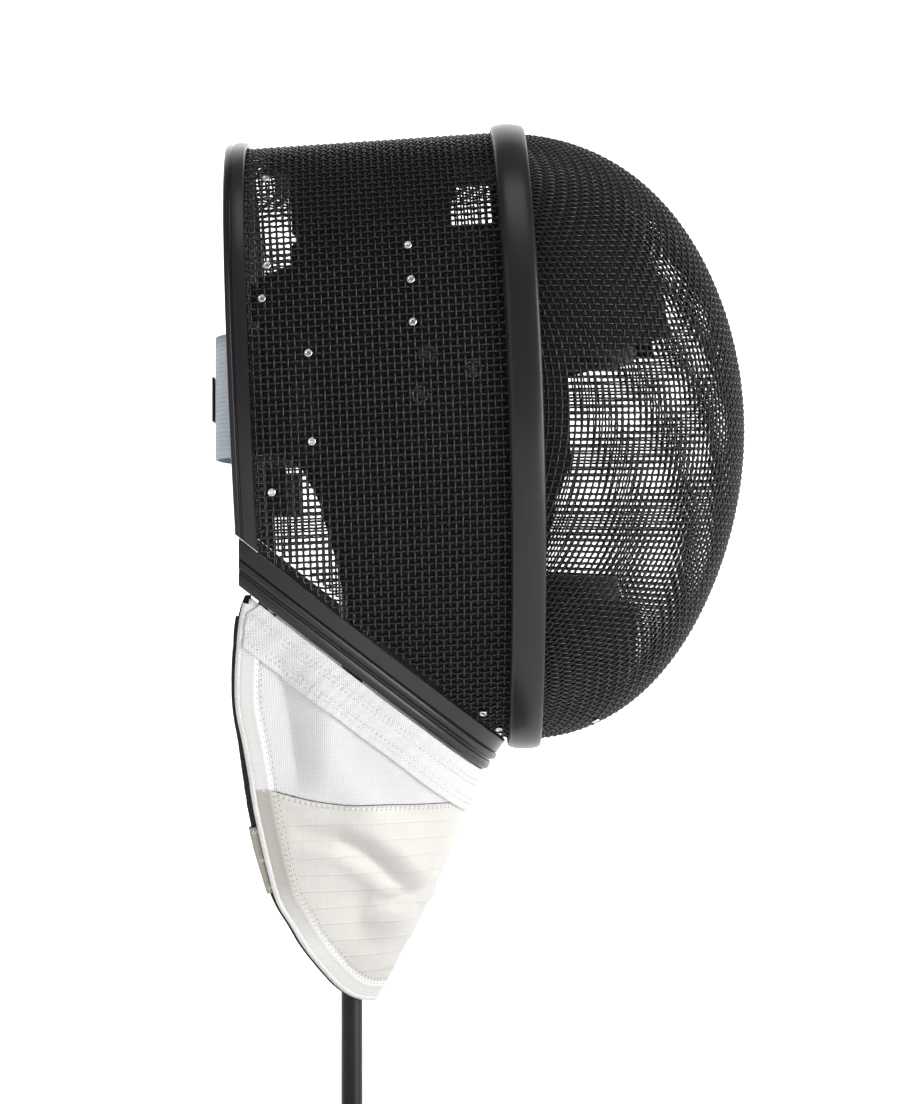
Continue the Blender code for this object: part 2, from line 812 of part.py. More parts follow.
def corner_tabs():
    """A small elastic tab at each rear corner, from the jaw trim down to the edging."""
    for side, sign in (("right", -1), ("left", 1)):
        rows = []
        for down, wide in ((0.0, 0.44), (0.5, 0.78), (1.0, 1.0)):
            drop = Vector((-CORNER_TAB_LEAN * down, 0, -CORNER_TAB_LENGTH * down))
            middle = BIB_TOP_CORNER + drop
            middle.y = sign * (abs(BIB_TOP_CORNER.y) - BIB_WALL / 2 - 2 * TAB_WALL)
            half = wide * CORNER_TAB_WIDTH / 2
            rows.append([middle + Vector((shift * half, 0, 0)) for shift in (-1, 0, 1)])
        name = "corner_tab_" + side
        wall(name, grid_mesh(name, rows), DARK_WEBBING, TAB_WALL)


def lean_stretch(up):
    """How much wider the head's wall is across than through, where it leans inwards."""
    step = 0.02
    rise = side_wall(up + step, 0, 0) - side_wall(up - step, 0, 0)
    return rise.length / rise.z


def bow_pad(name, low, high, reach, columns, rows):
    """A pad across the head, from the inside of one side pad to that of the other."""
    sheet = []
    for level in spread(0, 1, rows):
        up = mix(low, high, level)
        inset = SIDE_PAD_INSET + PAD_EASE + GAP + PAD_THICKNESS * (0.5 + lean_stretch(up))
        side = side_wall(up, 0, inset)
        row = []
        for turn in spread(-math.pi / 2, math.pi / 2, columns):
            rim = abs(2 * level - 1) ** 6
            ahead = (reach - rim * PAD_EASE) * abs(math.cos(turn)) ** (2 / BOW_POWER)
            across = math.copysign(abs(math.sin(turn)) ** (2 / BOW_POWER), turn)
            row.append(Vector((side.x + ahead, side.y * across, side.z)))
        sheet.append(row)
    return wall(name, grid_mesh(name, sheet), PADDING, PAD_THICKNESS)


def side_wall(up, along, inset):
    """The head's side at a height: along is the share of the crown's length behind the band."""
    if along >= 0:
        return crown_point(math.acos(up), along, inset)
    level = math.sqrt(1 - up * up)
    ahead = -along * CROWN_LENGTH / (front_depth(up, inset) * level)
    return front_point(up, math.acos(ahead), inset)


def side_pads():
    """A cheek and temple pad on each side, from the jaw's cut up to the forehead."""
    for side, sign in (("right", -1), ("left", 1)):
        rows = []
        for level in spread(0, 1, 9):
            place = level * (len(SIDE_PAD) - 1)
            index = min(int(place), len(SIDE_PAD) - 2)
            lower, upper = SIDE_PAD[index], SIDE_PAD[index + 1]
            rear = mix(lower[1], upper[1], place - index)
            ahead = mix(lower[2], upper[2], place - index)
            row = []
            for across in spread(0, 1, 12):
                along = mix(rear, ahead, across)
                foot = pad_foot(along)
                up = mix(foot, SIDE_PAD_TOP, level)
                rim = max(abs(2 * across - 1), abs(2 * level - 1)) ** 6
                inset = SIDE_PAD_INSET + PAD_THICKNESS / 2 + rim * PAD_EASE
                point = side_wall(up, along, inset)
                point.y *= sign
                row.append(point)
            rows.append(row)
        name = "side_pad_" + side
        wall(name, grid_mesh(name, rows), PADDING, PAD_THICKNESS)


def pad_foot(along):
    """The height share of the pad's lower edge, a set distance over the jaw's cut."""
    x = BAND_X - CROWN_LENGTH * along
    z = JAW_POINT.z + (JAW_POINT.x - x) * math.tan(JAW_ANGLE)
    z = max(z, JAW_POINT.z + PAD_OVER_CHIN) + PAD_OVER_JAW
    return (z - MIDDLE_Z) / HALF_HEIGHT


def back_strap():
    """The strap across the open back, from wall to wall in one bow, with its dark patch."""
    upper_rivet = next(up for name, along, up in RIVETS if name == "strap_upper")
    top = crown_point(math.acos(upper_rivet), STRAP_ALONG).z + STRAP_OVER_RIVET
    rows = []
    for share in (0, 0.5, 1):
        z = top - STRAP_WIDTH * share
        inset = WEAVE_WALL / 2 + 2 * GAP + STRAP_WALL / 2
        reach = crown_point(math.acos((z - MIDDLE_Z) / HALF_HEIGHT), STRAP_ALONG, inset).y
        turns = spread(-math.pi / 2, math.pi / 2, 31)
        rows.append([Vector((*strap_bow(turn, reach), z)) for turn in turns])
    wall("back_strap", grid_mesh("back_strap", rows), STRAP_CLOTH, STRAP_WALL)
    over = STRAP_WALL / 2 + GAP + PATCH_WALL / 2
    rows = []
    for share in (0, 1):
        z = top - mix(STRAP_WIDTH - PATCH_HEIGHT, STRAP_WIDTH + PATCH_HEIGHT, share) / 2
        turns = spread(-PATCH_TURN, PATCH_TURN, 7)
        rows.append([Vector((*strap_bow(turn, reach, over), z)) for turn in turns])
    wall("strap_patch", grid_mesh("strap_patch", rows), DARK_WEBBING, PATCH_WALL)


def strap_bow(turn, reach, over=0.0):
    """The strap's line from above: turn 0 is the middle of the back."""
    power = 2 / STRAP_POWER
    back = rear_x(0) - STRAP_BEHIND - over
    front = mix(band_x(0), rear_x(0), STRAP_ALONG) + STRAP_PAST_RIVET
    x = mix(front, back, abs(math.cos(turn)) ** power)
    return x, math.copysign((reach + over) * abs(math.sin(turn)) ** power, turn)


def crown_patch(name, along, up, inset, thickness, finish, sign):
    """A small flat piece on the inside of the crown, between two shares each way."""
    rows = []
    for height in spread(up[0], up[1], 4):
        row = [crown_point(math.acos(height), place, inset) for place in spread(*along, 4)]
        rows.append([Vector((point.x, point.y * sign, point.z)) for point in row])
    return wall(name, grid_mesh(name, rows), finish, thickness)


def button_mesh(name, radius, height, finish):
    """A low round head with a small dimple, standing on its own origin along +Z."""
    profile = [
        (0, height * 0.80),
        (radius * 0.25, height),
        (radius * 0.75, height * 0.80),
        (radius, 0),
        (0, 0),
    ]
    mesh = applied(turned(name, profile, finish, 8))
    mesh.materials.append(finish)
    return mesh


def place_on_wall(name, mesh, point, normal, offset):
    made = bpy.data.objects.new(name, mesh)
    made.location = point + normal * offset
    made.rotation_mode = "QUATERNION"
    made.rotation_quaternion = normal.to_track_quat("Z", "Y")
    MASK.objects.link(made)
    return made


def fasteners():
    """Rivet heads on the outside, square tabs under two of them and snaps on the side pads."""
    rivet = button_mesh("rivet", RIVET_RADIUS, RIVET_HEIGHT, NICKEL)
    snap = button_mesh("snap", SNAP_RADIUS, SNAP_HEIGHT, SNAP_PLASTIC)
    seat = WEAVE_WALL / 2 + GAP
    for side, sign in (("right", -1), ("left", 1)):
        for name, along, up in RIVETS:
            around = math.acos(up) * sign
            normal = crown_normal(around, along)
            point = crown_point(around, along)
            place_on_wall(f"rivet_{name}_{side}", rivet, point, normal, seat)
        for name, along, up in SNAPS:
            around = math.acos(up) * sign
            normal = crown_normal(around, along)
            point = crown_point(around, along)
            place_on_wall(f"snap_{name}_{side}", snap, point, normal, GAP - SIDE_PAD_INSET)
        for name, first, last, low, high in TABS:
            inset = seat + TAB_WALL / 2
            label = f"wall_tab_{name}_{side}"
            crown_patch(label, (first, last), (low, high), inset, TAB_WALL, DARK_WEBBING, sign)


def stand():
    """A round foot, the rod up through the open bib and a rounded head under the crown."""
    roof = crown_point(0, band_x(1) / CROWN_LENGTH, WEAVE_WALL / 2).z
    top = roof - GAP - REST_SLOPE
    foot = [
        (0, FOOT_HEIGHT),
        (FOOT_RADIUS - FOOT_ROUND, FOOT_HEIGHT),
        (FOOT_RADIUS, FOOT_HEIGHT - FOOT_ROUND),
        (FOOT_RADIUS, FOOT_CHAMFER),
        (FOOT_RADIUS - FOOT_CHAMFER, 0),
        (0, 0),
    ]
    turned("stand_foot", foot, STAND_PAINT, 32)
    rod_top = top - REST_HEIGHT - GAP
    rod_foot = FOOT_HEIGHT + GAP
    rod = [(0, rod_top), (ROD_RADIUS, rod_top), (ROD_RADIUS, rod_foot), (0, rod_foot)]
    turned("stand_rod", rod, STAND_PAINT, 16)
    rest = [
        (0, top),
        (REST_RADIUS * 0.5, top - REST_ROUND * 0.22),
        (REST_RADIUS * 0.85, top - REST_ROUND * 0.7),
        (REST_RADIUS, top - REST_ROUND * 1.3),
        (REST_RADIUS * 0.8, top - REST_HEIGHT),
        (0, top - REST_HEIGHT),
    ]
    turned("stand_rest", rest, STAND_PAINT, 20)


front_dome()
crown()
face_band()
rear_trim()
jaw_trim()
bib()
bib_trimmings()
corner_tabs()
bow_pad("forehead_pad", 0.27, 0.66, BROW_REACH, 23, 6)
bow_pad("chin_pad", -0.78, -0.54, CHIN_REACH, 19, 5)
side_pads()
back_strap()
fasteners()
stand()
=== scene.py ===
# %% [markdown]
# # A fencing mask on a display stand
#
# This notebook dresses a finished model: its solids are loaded as a fixed frame, and each
# piece of the real mask is then made over them with its true surface. The woven wire comes
# first, because it is what a mask is: two sets of steel wires, coated black, with daylight
# between them. Lengths are in metres, +Z is up, and the face looks along +X.

# %% The frame
import math
from contextlib import contextmanager

import bmesh
import bpy
import numpy as np
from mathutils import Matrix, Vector, noise
from mathutils.bvhtree import BVHTree


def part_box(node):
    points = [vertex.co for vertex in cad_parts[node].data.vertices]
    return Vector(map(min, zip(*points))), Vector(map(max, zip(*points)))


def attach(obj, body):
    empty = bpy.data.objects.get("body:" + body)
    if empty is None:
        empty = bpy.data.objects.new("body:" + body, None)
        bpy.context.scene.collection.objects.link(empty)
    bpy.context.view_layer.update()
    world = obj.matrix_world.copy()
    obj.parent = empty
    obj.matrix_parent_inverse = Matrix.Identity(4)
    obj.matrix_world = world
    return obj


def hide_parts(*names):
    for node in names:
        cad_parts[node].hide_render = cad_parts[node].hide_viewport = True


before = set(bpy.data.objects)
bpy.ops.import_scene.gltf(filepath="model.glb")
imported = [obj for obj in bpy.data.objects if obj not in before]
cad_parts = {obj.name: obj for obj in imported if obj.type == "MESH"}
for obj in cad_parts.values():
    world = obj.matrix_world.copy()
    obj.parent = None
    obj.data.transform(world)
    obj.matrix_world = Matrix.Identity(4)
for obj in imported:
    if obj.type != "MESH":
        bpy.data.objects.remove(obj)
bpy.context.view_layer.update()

# %% [markdown]
# ## The view
#
# The mask is seen from its right side, from about head height and far enough away for the
# near side to look hardly bigger than the far side. A long lens does that. The sizes below
# turn the distance and the width that the picture takes in into the lens.

# %% The camera
VIEW_DISTANCE = 1.800
VIEW_WIDTH = 0.423  # what the picture's width takes in at the middle of the mask
VIEW_CENTRE = Vector((0.0461, 0.0, 0.3006))
PICTURE_WIDTH, PICTURE_HEIGHT = 900, 1104

lens = bpy.data.cameras.new("view")
lens.sensor_fit = "VERTICAL"
lens.sensor_height = 36
lens.lens = 36 * VIEW_DISTANCE / (VIEW_WIDTH * PICTURE_HEIGHT / PICTURE_WIDTH)
camera = bpy.data.objects.new("view", lens)
camera.location = VIEW_CENTRE - Vector((0, VIEW_DISTANCE, 0))
camera.rotation_euler = (math.radians(90), 0, 0)
bpy.context.scene.collection.objects.link(camera)
bpy.context.scene.camera = camera
print("lens", round(lens.lens, 1), "mm")

# %% [markdown]
# ## The studio
#
# The mask stands in a white studio: a pale floor that curves up into a bright wall, so that
# every opening of the mesh shows white. Black wire shows its form only by what it mirrors,
# so soft boxes stand on the left and the right, a low one lights the bib, one hangs over the
# mask, and a wide one lights the wall behind it.

# %% Floor, wall and lights
WALL_DISTANCE = 1.9
WALL_BEND = 0.7
WALL_HEIGHT = 3.2
FLOOR_REACH = 3.0
FLOOR_DROP = 0.0002  # how far the floor lies under the foot
BEND_STEPS = 24


def sheet_mesh(name, rows, closed=False):
    """A mesh through rows of points, all the same length. closed joins each row's ends."""
    points = [tuple(point) for row in rows for point in row]
    width = len(rows[0])
    faces = []
    for line in range(len(rows) - 1):
        for step in range(width if closed else width - 1):
            nxt = (step + 1) % width
            here, there = line * width, (line + 1) * width
            faces.append((here + step, here + nxt, there + nxt, there + step))
    mesh = bpy.data.meshes.new(name)
    mesh.from_pydata(points, [], faces)
    mesh.shade_smooth()
    return mesh


def link(name, mesh, material=None):
    made = bpy.data.objects.new(name, mesh)
    bpy.context.scene.collection.objects.link(made)
    if material:
        mesh.materials.clear()
        mesh.materials.append(material)
    return made


def settle(name, mesh, finish, slot, *nodes):
    """A finished piece: its material, the solids that it stands for and the body it rides on."""
    piece = link(name, mesh, finish and finish.material)
    if nodes:
        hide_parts(*nodes)
    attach(piece, "root")
    return piece


bend = [math.radians(90 * step / BEND_STEPS) for step in range(BEND_STEPS + 1)]
profile = [(-FLOOR_REACH, 0.0)]
profile += [
    (WALL_DISTANCE - WALL_BEND + WALL_BEND * math.sin(t), WALL_BEND - WALL_BEND * math.cos(t))
    for t in bend
]
profile += [(WALL_DISTANCE, WALL_HEIGHT)]
wall_rows = [[(x, y, z - FLOOR_DROP) for x in (-FLOOR_REACH, FLOOR_REACH)] for y, z in profile]
studio_wall = link("studio_wall", sheet_mesh("studio_wall", wall_rows))


def soft_box(name, place, target, width, height, power):
    light = bpy.data.lights.new(name, "AREA")
    light.shape = "RECTANGLE"
    light.size, light.size_y = width, height
    light.energy = power
    made = bpy.data.objects.new(name, light)
    made.location = place
    made.rotation_euler = (Vector(target) - Vector(place)).to_track_quat("-Z", "Y").to_euler()
    bpy.context.scene.collection.objects.link(made)


MASK_MIDDLE = (0.05, 0.0, 0.32)
LIGHTS = (
    # name, place, what it points at, width, height, power
    ("left_box", (-1.2, -1.3, 0.9), MASK_MIDDLE, 0.8, 1.2, 2.0),
    ("right_box", (1.55, -0.75, 0.45), MASK_MIDDLE, 0.6, 1.4, 26),
    ("low_box", (1.0, -1.2, 0.10), (0.06, 0.0, 0.22), 0.5, 0.15, 2.0),
    ("top_box", (0.1, -0.7, 2.0), MASK_MIDDLE, 1.0, 1.0, 5.0),
    ("wall_box", (0.0, 0.6, 1.6), (0.0, 1.9, 1.0), 2.4, 0.6, 30),
)
for light in LIGHTS:
    soft_box(*light)

bpy.context.scene.view_settings.view_transform = "Standard"
world = bpy.data.worlds.new("studio")
world.use_nodes = True
world.node_tree.nodes["Background"].inputs["Color"].default_value = (1, 1, 1, 1)
world.node_tree.nodes["Background"].inputs["Strength"].default_value = 0.22
bpy.context.scene.world = world

# %% [markdown]
# ## Shader maths as plain expressions
#
# A finish is a small graph of nodes. Wiring each Math node by hand hides the idea behind it,
# so a socket is wrapped in a class that has the usual operators: `ridge * 0.5 + 0.5` adds two
# Math nodes. One method adds every other kind of node.

# %% Finishes
class Socket:
    """An output of a node, which works like a number in an expression."""

    def __init__(self, finish, output):
        self.finish = finish
        self.output = output

    def maths(self, operation, *values):
        sockets = dict(enumerate((self, *values)))
        return self.finish.node("ShaderNodeMath", sockets, operation=operation)

    def __add__(self, other):
        return self.maths("ADD", other)

    def __sub__(self, other):
        return self.maths("SUBTRACT", other)

    def __mul__(self, other):
        return self.maths("MULTIPLY", other)

    def __pow__(self, other):
        return self.maths("POWER", other)


class Finish:
    """A material in the making, and one way to add any node to it."""

    def __init__(self, name, colour, roughness, constants=None):
        self.material = bpy.data.materials.new(name)
        self.material.use_nodes = True
        self.tree = self.material.node_tree
        self.shader = self.tree.nodes["Principled BSDF"]
        self.shader.inputs["Base Color"].default_value = (*colour, 1)
        self.shader.inputs["Roughness"].default_value = roughness
        for label, value in (constants or {}).items():
            self.shader.inputs[label].default_value = value

    def node(self, kind, sockets=None, output=0, stops=None, **settings):
        made = self.tree.nodes.new(kind)
        for label, value in settings.items():
            setattr(made, label, value)
        if stops:
            ramp = made.color_ramp.elements
            ramp[0].position, ramp[0].color = stops[0]
            ramp[1].position, ramp[1].color = stops[-1]
            for place, colour in stops[1:-1]:
                ramp.new(place).color = colour
        for label, value in (sockets or {}).items():
            self.feed(made.inputs[label], value)
        return Socket(self, made.outputs[output])

    def feed(self, socket, value):
        if isinstance(value, Socket):
            self.tree.links.new(value.output, socket)
        else:
            socket.default_value = value

    def set(self, label, value):
        self.feed(self.shader.inputs[label], value)

    def place(self, source="Object"):
        """Where a point lies on the piece, for patterns to read."""
        return self.node("ShaderNodeTexCoord", output=source)

    def noise(self, scale, detail=3.0, roughness=0.5):
        sockets = {"Vector": self.place(), "Scale": scale, "Detail": detail, "Roughness": roughness}
        return self.node("ShaderNodeTexNoise", sockets, output="Fac")

    def waves(self, scale, direction="X", distortion=0.0, source="Object", detail_scale=1.0):
        """Even stripes that follow one another in a direction, for threads and ribs."""
        sockets = {"Vector": self.place(source), "Scale": scale}
        sockets.update({"Distortion": distortion, "Detail Scale": detail_scale})
        return self.node("ShaderNodeTexWave", sockets, output="Fac", bands_direction=direction)

    def blend(self, share, first, second):
        """A colour between two others."""
        sockets = {"Factor": share, "A": first, "B": second}
        made = self.tree.nodes.new("ShaderNodeMix")
        made.data_type = "RGBA"
        for label, value in sockets.items():
            matching = [item for item in made.inputs if item.name == label and item.enabled]
            self.feed(matching[0], value if isinstance(value, (Socket, float)) else (*value, 1))
        colour = next(item for item in made.outputs if item.enabled)
        return Socket(self, colour)

    def bump(self, height, strength, distance):
        sockets = {"Height": height, "Strength": strength, "Distance": distance}
        self.set("Normal", self.node("ShaderNodeBump", sockets, output="Normal"))


GLOW = {"Emission Color": (1, 1, 1, 1), "Emission Strength": 0.5}
paper = Finish("studio_white", (0.93, 0.93, 0.93), 0.9, GLOW)
studio_wall.data.materials.append(paper.material)

# %% [markdown]
# The wire is drawn steel dipped in black paint. The coat is thicker where it ran and thinner
# over the crowns of the weave, so its gloss changes a little from place to place.

# %% The coat of the wire
COAT = (0.006, 0.006, 0.007)
wire_coat = Finish("coated_wire", COAT, 0.38, {"Specular IOR Level": 0.38})
wear = wire_coat.noise(220.0)
wire_coat.set("Roughness", wear * 0.26 + 0.16)
wire_coat.set("Base Color", wire_coat.blend(wire_coat.noise(60.0), COAT, (0.020, 0.020, 0.021)))

# %% [markdown]
# ## The form of the head
#
# Every wall of the mask follows one egg. `up` is the height as a share of the half height,
# `around` is the turn round the opening of the face, and `along` is the share of the way
# from the face band back to the rear edge. These few functions give any point of the crown
# and of the front, so wires, trims and rivets all meet without fitting.

# %% Sizes of the head
WEAVE_WALL = 0.0020
HEAD_HEIGHT = 0.2818
HEAD_WIDTH = 0.1970
CHIN_Z = 0.2136
FRONT_DEPTH = 0.1026
FRONT_SLANT = 0.0060
FRONT_FULLNESS = 0.0100
CROWN_LENGTH = 0.1280
CROWN_DROP = 0.0076
CROWN_LIFT = 0.0009
REAR_WIDTH = 0.1880
EGG_TAPER = 0.13
SIDE_POWER = 2.4
BAND_X = 0.0805
BAND_LEAN = 0.0041
BAND_BOW = 0.0039
REAR_LEAN = 0.0058
JAW_ANGLE = math.radians(38.1)
JAW_BEHIND_BAND = 0.0102
HALF_HEIGHT = HEAD_HEIGHT / 2
HALF_WIDTH = HEAD_WIDTH / 2
MIDDLE_Z = CHIN_Z + HALF_HEIGHT
DOWN_JAW = Vector((-math.sin(JAW_ANGLE), 0, -math.cos(JAW_ANGLE)))


def mix(start, end, share):
    return start + (end - start) * share


def spread(start, end, count):
    return [mix(start, end, step / (count - 1)) for step in range(count)]


def smooth(share):
    share = min(1.0, max(0.0, share))
    return share * share * (3 - 2 * share)


def band_x(up):
    return BAND_X - BAND_LEAN * up - BAND_BOW * up * up


def rear_x(up):
    return BAND_X - CROWN_LENGTH - REAR_LEAN * up


def front_depth(up, inset=0.0):
    return FRONT_DEPTH + FRONT_SLANT * up + FRONT_FULLNESS * up**4 - inset


def egg_half_width(up, round_share, inset):
    return (HALF_WIDTH - inset) * (1 + EGG_TAPER * up) * round_share ** (1 / SIDE_POWER)


def front_point(up, turn, inset=0.0):
    level = math.sqrt(max(0.0, 1 - up * up))
    side = egg_half_width(up, (level * math.sin(turn)) ** 2, inset)
    x = band_x(up) + front_depth(up, inset) * level * math.cos(turn)
    return Vector((x, math.copysign(side, turn), MIDDLE_Z + (HALF_HEIGHT - inset) * up))


def crown_point(around, along, inset=0.0):
    up = math.cos(around)
    narrowing = 1 - (1 - REAR_WIDTH / HEAD_WIDTH) * max(along, 0) ** 1.4
    side = egg_half_width(up, math.sin(around) ** 2, inset) * narrowing
    lift = CROWN_LIFT * (1 - along) - CROWN_DROP * along
    z = MIDDLE_Z + (HALF_HEIGHT - inset) * up + lift * max(up, 0) ** 2
    return Vector((mix(band_x(up), rear_x(up), along), math.copysign(side, math.sin(around)), z))


def outline_point(around):
    """A point of the egg itself, in the middle of the face band."""
    up = math.cos(around)
    side = egg_half_width(up, math.sin(around) ** 2, 0)
    return Vector((band_x(up), math.copysign(side, math.sin(around)), MIDDLE_Z + HALF_HEIGHT * up))


JAW_POINT = Vector((band_x(-1) - JAW_BEHIND_BAND, 0, CHIN_Z))


def below_jaw(point):
    """How far a point lies past the sloping cut along the jaw."""
    return (point - JAW_POINT).dot(DOWN_JAW)


def lengths(points):
    """The distance along a path to each of its points."""
    reach = [0.0]
    for here, there in zip(points, points[1:]):
        reach.append(reach[-1] + (there - here).length)
    return reach


TURN_STEPS = 1440
fine_turns = spread(-math.pi, math.pi, TURN_STEPS + 1)
turn_reach = lengths([outline_point(turn) for turn in fine_turns])
OUTLINE_LENGTH = turn_reach[-1]


def turn_at(distance):
    """The turn at a distance round the egg from the top, positive on the wearer's left."""
    return float(np.interp(distance + OUTLINE_LENGTH / 2, turn_reach, fine_turns))


print("round the egg", round(OUTLINE_LENGTH, 3))

# %% [markdown]
# ## Wire cloth
#
# Wire cloth is a plain weave: each wire goes over one crossing wire and under the next, and
# the press leaves a crimp at every crossing. It could be a flat sheet with a picture of
# wires, but then the openings would have no depth and no daylight. Here the net of crossings
# is worked out first, and one tree of Geometry Nodes then crimps the lines and gives them
# their round section. The lines carry two attributes: which way the surface faces, and
# whether the wire passes over or under.

# %% The tree that turns lines into crimped wires
WIRE_RADIUS = 0.00056
WIRE_SIDES = 5
WIRE_CRIMP = 0.00060


def new_tree(name, inputs):
    """An empty tree of Geometry Nodes with named inputs."""
    tree = bpy.data.node_groups.new(name, "GeometryNodeTree")
    tree.interface.new_socket("Geometry", in_out="INPUT", socket_type="NodeSocketGeometry")
    tree.interface.new_socket("Geometry", in_out="OUTPUT", socket_type="NodeSocketGeometry")
    for label, (kind, value) in inputs.items():
        made = tree.interface.new_socket(label, in_out="INPUT", socket_type="NodeSocket" + kind)
        if value is not None:
            made.default_value = value
    return tree


def wire(tree, kind, sockets=None, **settings):
    """A node of the tree, with its settings made and its sockets set or linked."""
    made = tree.nodes.new(kind)
    for label, value in settings.items():
        setattr(made, label, value)
    for label, value in (sockets or {}).items():
        if isinstance(value, bpy.types.NodeSocket):
            tree.links.new(value, made.inputs[label])
        else:
            made.inputs[label].default_value = value
    return made


def deliver(tree, made, material):
    """The end of every tree: real geometry, shaded smooth, with its material set."""
    real = wire(tree, "GeometryNodeRealizeInstances", {"Geometry": made.outputs[0]})
    soft = wire(tree, "GeometryNodeSetShadeSmooth", {"Geometry": real.outputs[0]})
    done = wire(tree, "GeometryNodeSetMaterial", {"Geometry": soft.outputs[0], "Material": material})
    wire(tree, "NodeGroupOutput", {"Geometry": done.outputs[0]})
    return tree


def wire_tree():
    tree = new_tree(
        "crimped_wires",
        {
            "Radius": ("Float", WIRE_RADIUS),
            "Crimp": ("Float", WIRE_CRIMP),
            "Sides": ("Int", WIRE_SIDES),
            "Coat": ("Material", None),
        },
    )
    given = wire(tree, "NodeGroupInput").outputs
    facing = wire(tree, "GeometryNodeInputNamedAttribute", {"Name": "facing"}, data_type="FLOAT_VECTOR")
    over = wire(tree, "GeometryNodeInputNamedAttribute", {"Name": "over"}, data_type="FLOAT")
    rise = wire(tree, "ShaderNodeMath", {0: over.outputs[0], 1: given["Crimp"]}, operation="MULTIPLY")
    sockets = {0: facing.outputs[0], "Scale": rise.outputs[0]}
    shift = wire(tree, "ShaderNodeVectorMath", sockets, operation="SCALE")
    sockets = {"Geometry": given["Geometry"], "Offset": shift.outputs[0]}
    moved = wire(tree, "GeometryNodeSetPosition", sockets)
    curve = wire(tree, "GeometryNodeMeshToCurve", {"Mesh": moved.outputs[0]})
    sockets = {"Resolution": given["Sides"], "Radius": given["Radius"]}
    section = wire(tree, "GeometryNodeCurvePrimitiveCircle", sockets)
    sockets = {"Curve": curve.outputs[0], "Profile Curve": section.outputs[0], "Fill Caps": True}
    tube = wire(tree, "GeometryNodeCurveToMesh", sockets)
    return deliver(tree, tube, given["Coat"])


def plain_mesh(source, tree, values):
    """Runs a tree on an object and returns the result as a plain mesh."""
    modifier = source.modifiers.new("made", "NODES")
    modifier.node_group = tree
    sockets = {item.name: item.identifier for item in tree.interface.items_tree if item.in_out == "INPUT"}
    for label, value in values.items():
        modifier[sockets[label]] = value
    graph = bpy.context.evaluated_depsgraph_get()
    made = bpy.data.meshes.new_from_object(source.evaluated_get(graph))
    source.modifiers.remove(modifier)
    bpy.data.objects.remove(source, do_unlink=True)
    return made


def grown(name, points, edges, fields, tree, values, slot, nodes):
    """Runs a tree on points with fields of numbers, and settles what it makes as one piece."""
    mesh = bpy.data.meshes.new(name + "_lines")
    mesh.from_pydata(points, edges, [])
    for label, numbers in fields.items():
        kind, part = ("FLOAT", "value") if label == "over" else ("FLOAT_VECTOR", "vector")
        mesh.attributes.new(label, kind, "POINT").data.foreach_set(part, numbers)
    made = plain_mesh(link(name + "_lines", mesh), tree, values)
    made.name = name
    piece = settle(name, made, None, slot, *nodes)
    print(name, sum(len(face.vertices) - 2 for face in made.polygons), "triangles")
    return piece


WIRES = wire_tree()


def woven(name, node, lines, **sizes):
    """Wires along lines of (point, facing, over), as one piece that replaces a solid."""
    points, facing, over, edges = [], [], [], []
    for line in lines:
        start = len(points)
        for point, direction, side in line:
            points.append(point)
            facing.extend(direction)
            over.append(side)
        edges += [(start + step, start + step + 1) for step in range(len(line) - 1)]
    fields, values = {"facing": facing, "over": over}, {"Coat": wire_coat.material, **sizes}
    print(len(lines), "wires")
    return grown(name, points, edges, fields, WIRES, values, "coated_wire", [node])


# %% [markdown]
# ## The crown's weave
#
# The crown is a flat strip of wire cloth bent round the head, so its openings stay square.
# One set of wires runs from the face band to the rear edge, the other round the head. The
# strip was laid on with a slight turn, which shows at the sides as wires that fall towards
# the back. The net is a grid of crossings, and what lies past the jaw's cut is left out.

# %% Crossings of the crown
MESH_PITCH = 0.00315
WIRE_START = 0.0013  # from the band's middle to the first crossing
WIRE_STOP = -0.0006  # how far past the jaw's cut a crossing may lie
CROWN_START = WIRE_START / CROWN_LENGTH
CROWN_FALL = 0.0062  # how far a wire at the side comes down over the crown's length
FALL_REACH = 0.130  # from the top to where the fall is complete


def crown_place(distance, along):
    """A crossing: its distance round the egg from the top, and its share of the length."""
    fall = CROWN_FALL * along * smooth(abs(distance) / FALL_REACH)
    return crown_point(turn_at(distance + math.copysign(fall, distance)), along)


def net_facing(net, inward):
    """The outward direction at each crossing of a net of points, away from a middle point."""
    count, width = net.shape[:2]
    tall = np.gradient(net, axis=0)
    wide = np.gradient(net, axis=1)
    facing = np.cross(tall, wide)
    facing /= np.maximum(np.linalg.norm(facing, axis=2, keepdims=True), 1e-9)
    outward = net - np.array(inward)
    facing *= np.where((facing * outward).sum(axis=2, keepdims=True) < 0, -1, 1)
    return facing


def lines_of(net, facing, keep, phase):
    """The wires along a net's second direction: crossings, the middles between them, and ends."""
    lines = []
    for row in range(net.shape[0]):
        line = []
        for step in range(net.shape[1]):
            if not keep[row, step]:
                if len(line) > 3:
                    lines.append(line)
                line = []
                continue
            if line:
                before = net[row, step - 1]
                middle = (before + net[row, step]) / 2
                line.append((middle, facing[row, step], 0.0))
            side = 1.0 if (row + step + phase) % 2 else -1.0
            line.append((net[row, step], facing[row, step], side))
        if len(line) > 3:
            lines.append(line)
    return lines


def lines_across(net, facing, keep):
    """The wires along a net's first direction, which pass over where the others pass under."""
    return lines_of(net.transpose(1, 0, 2), facing.transpose(1, 0, 2), keep.T, 1)


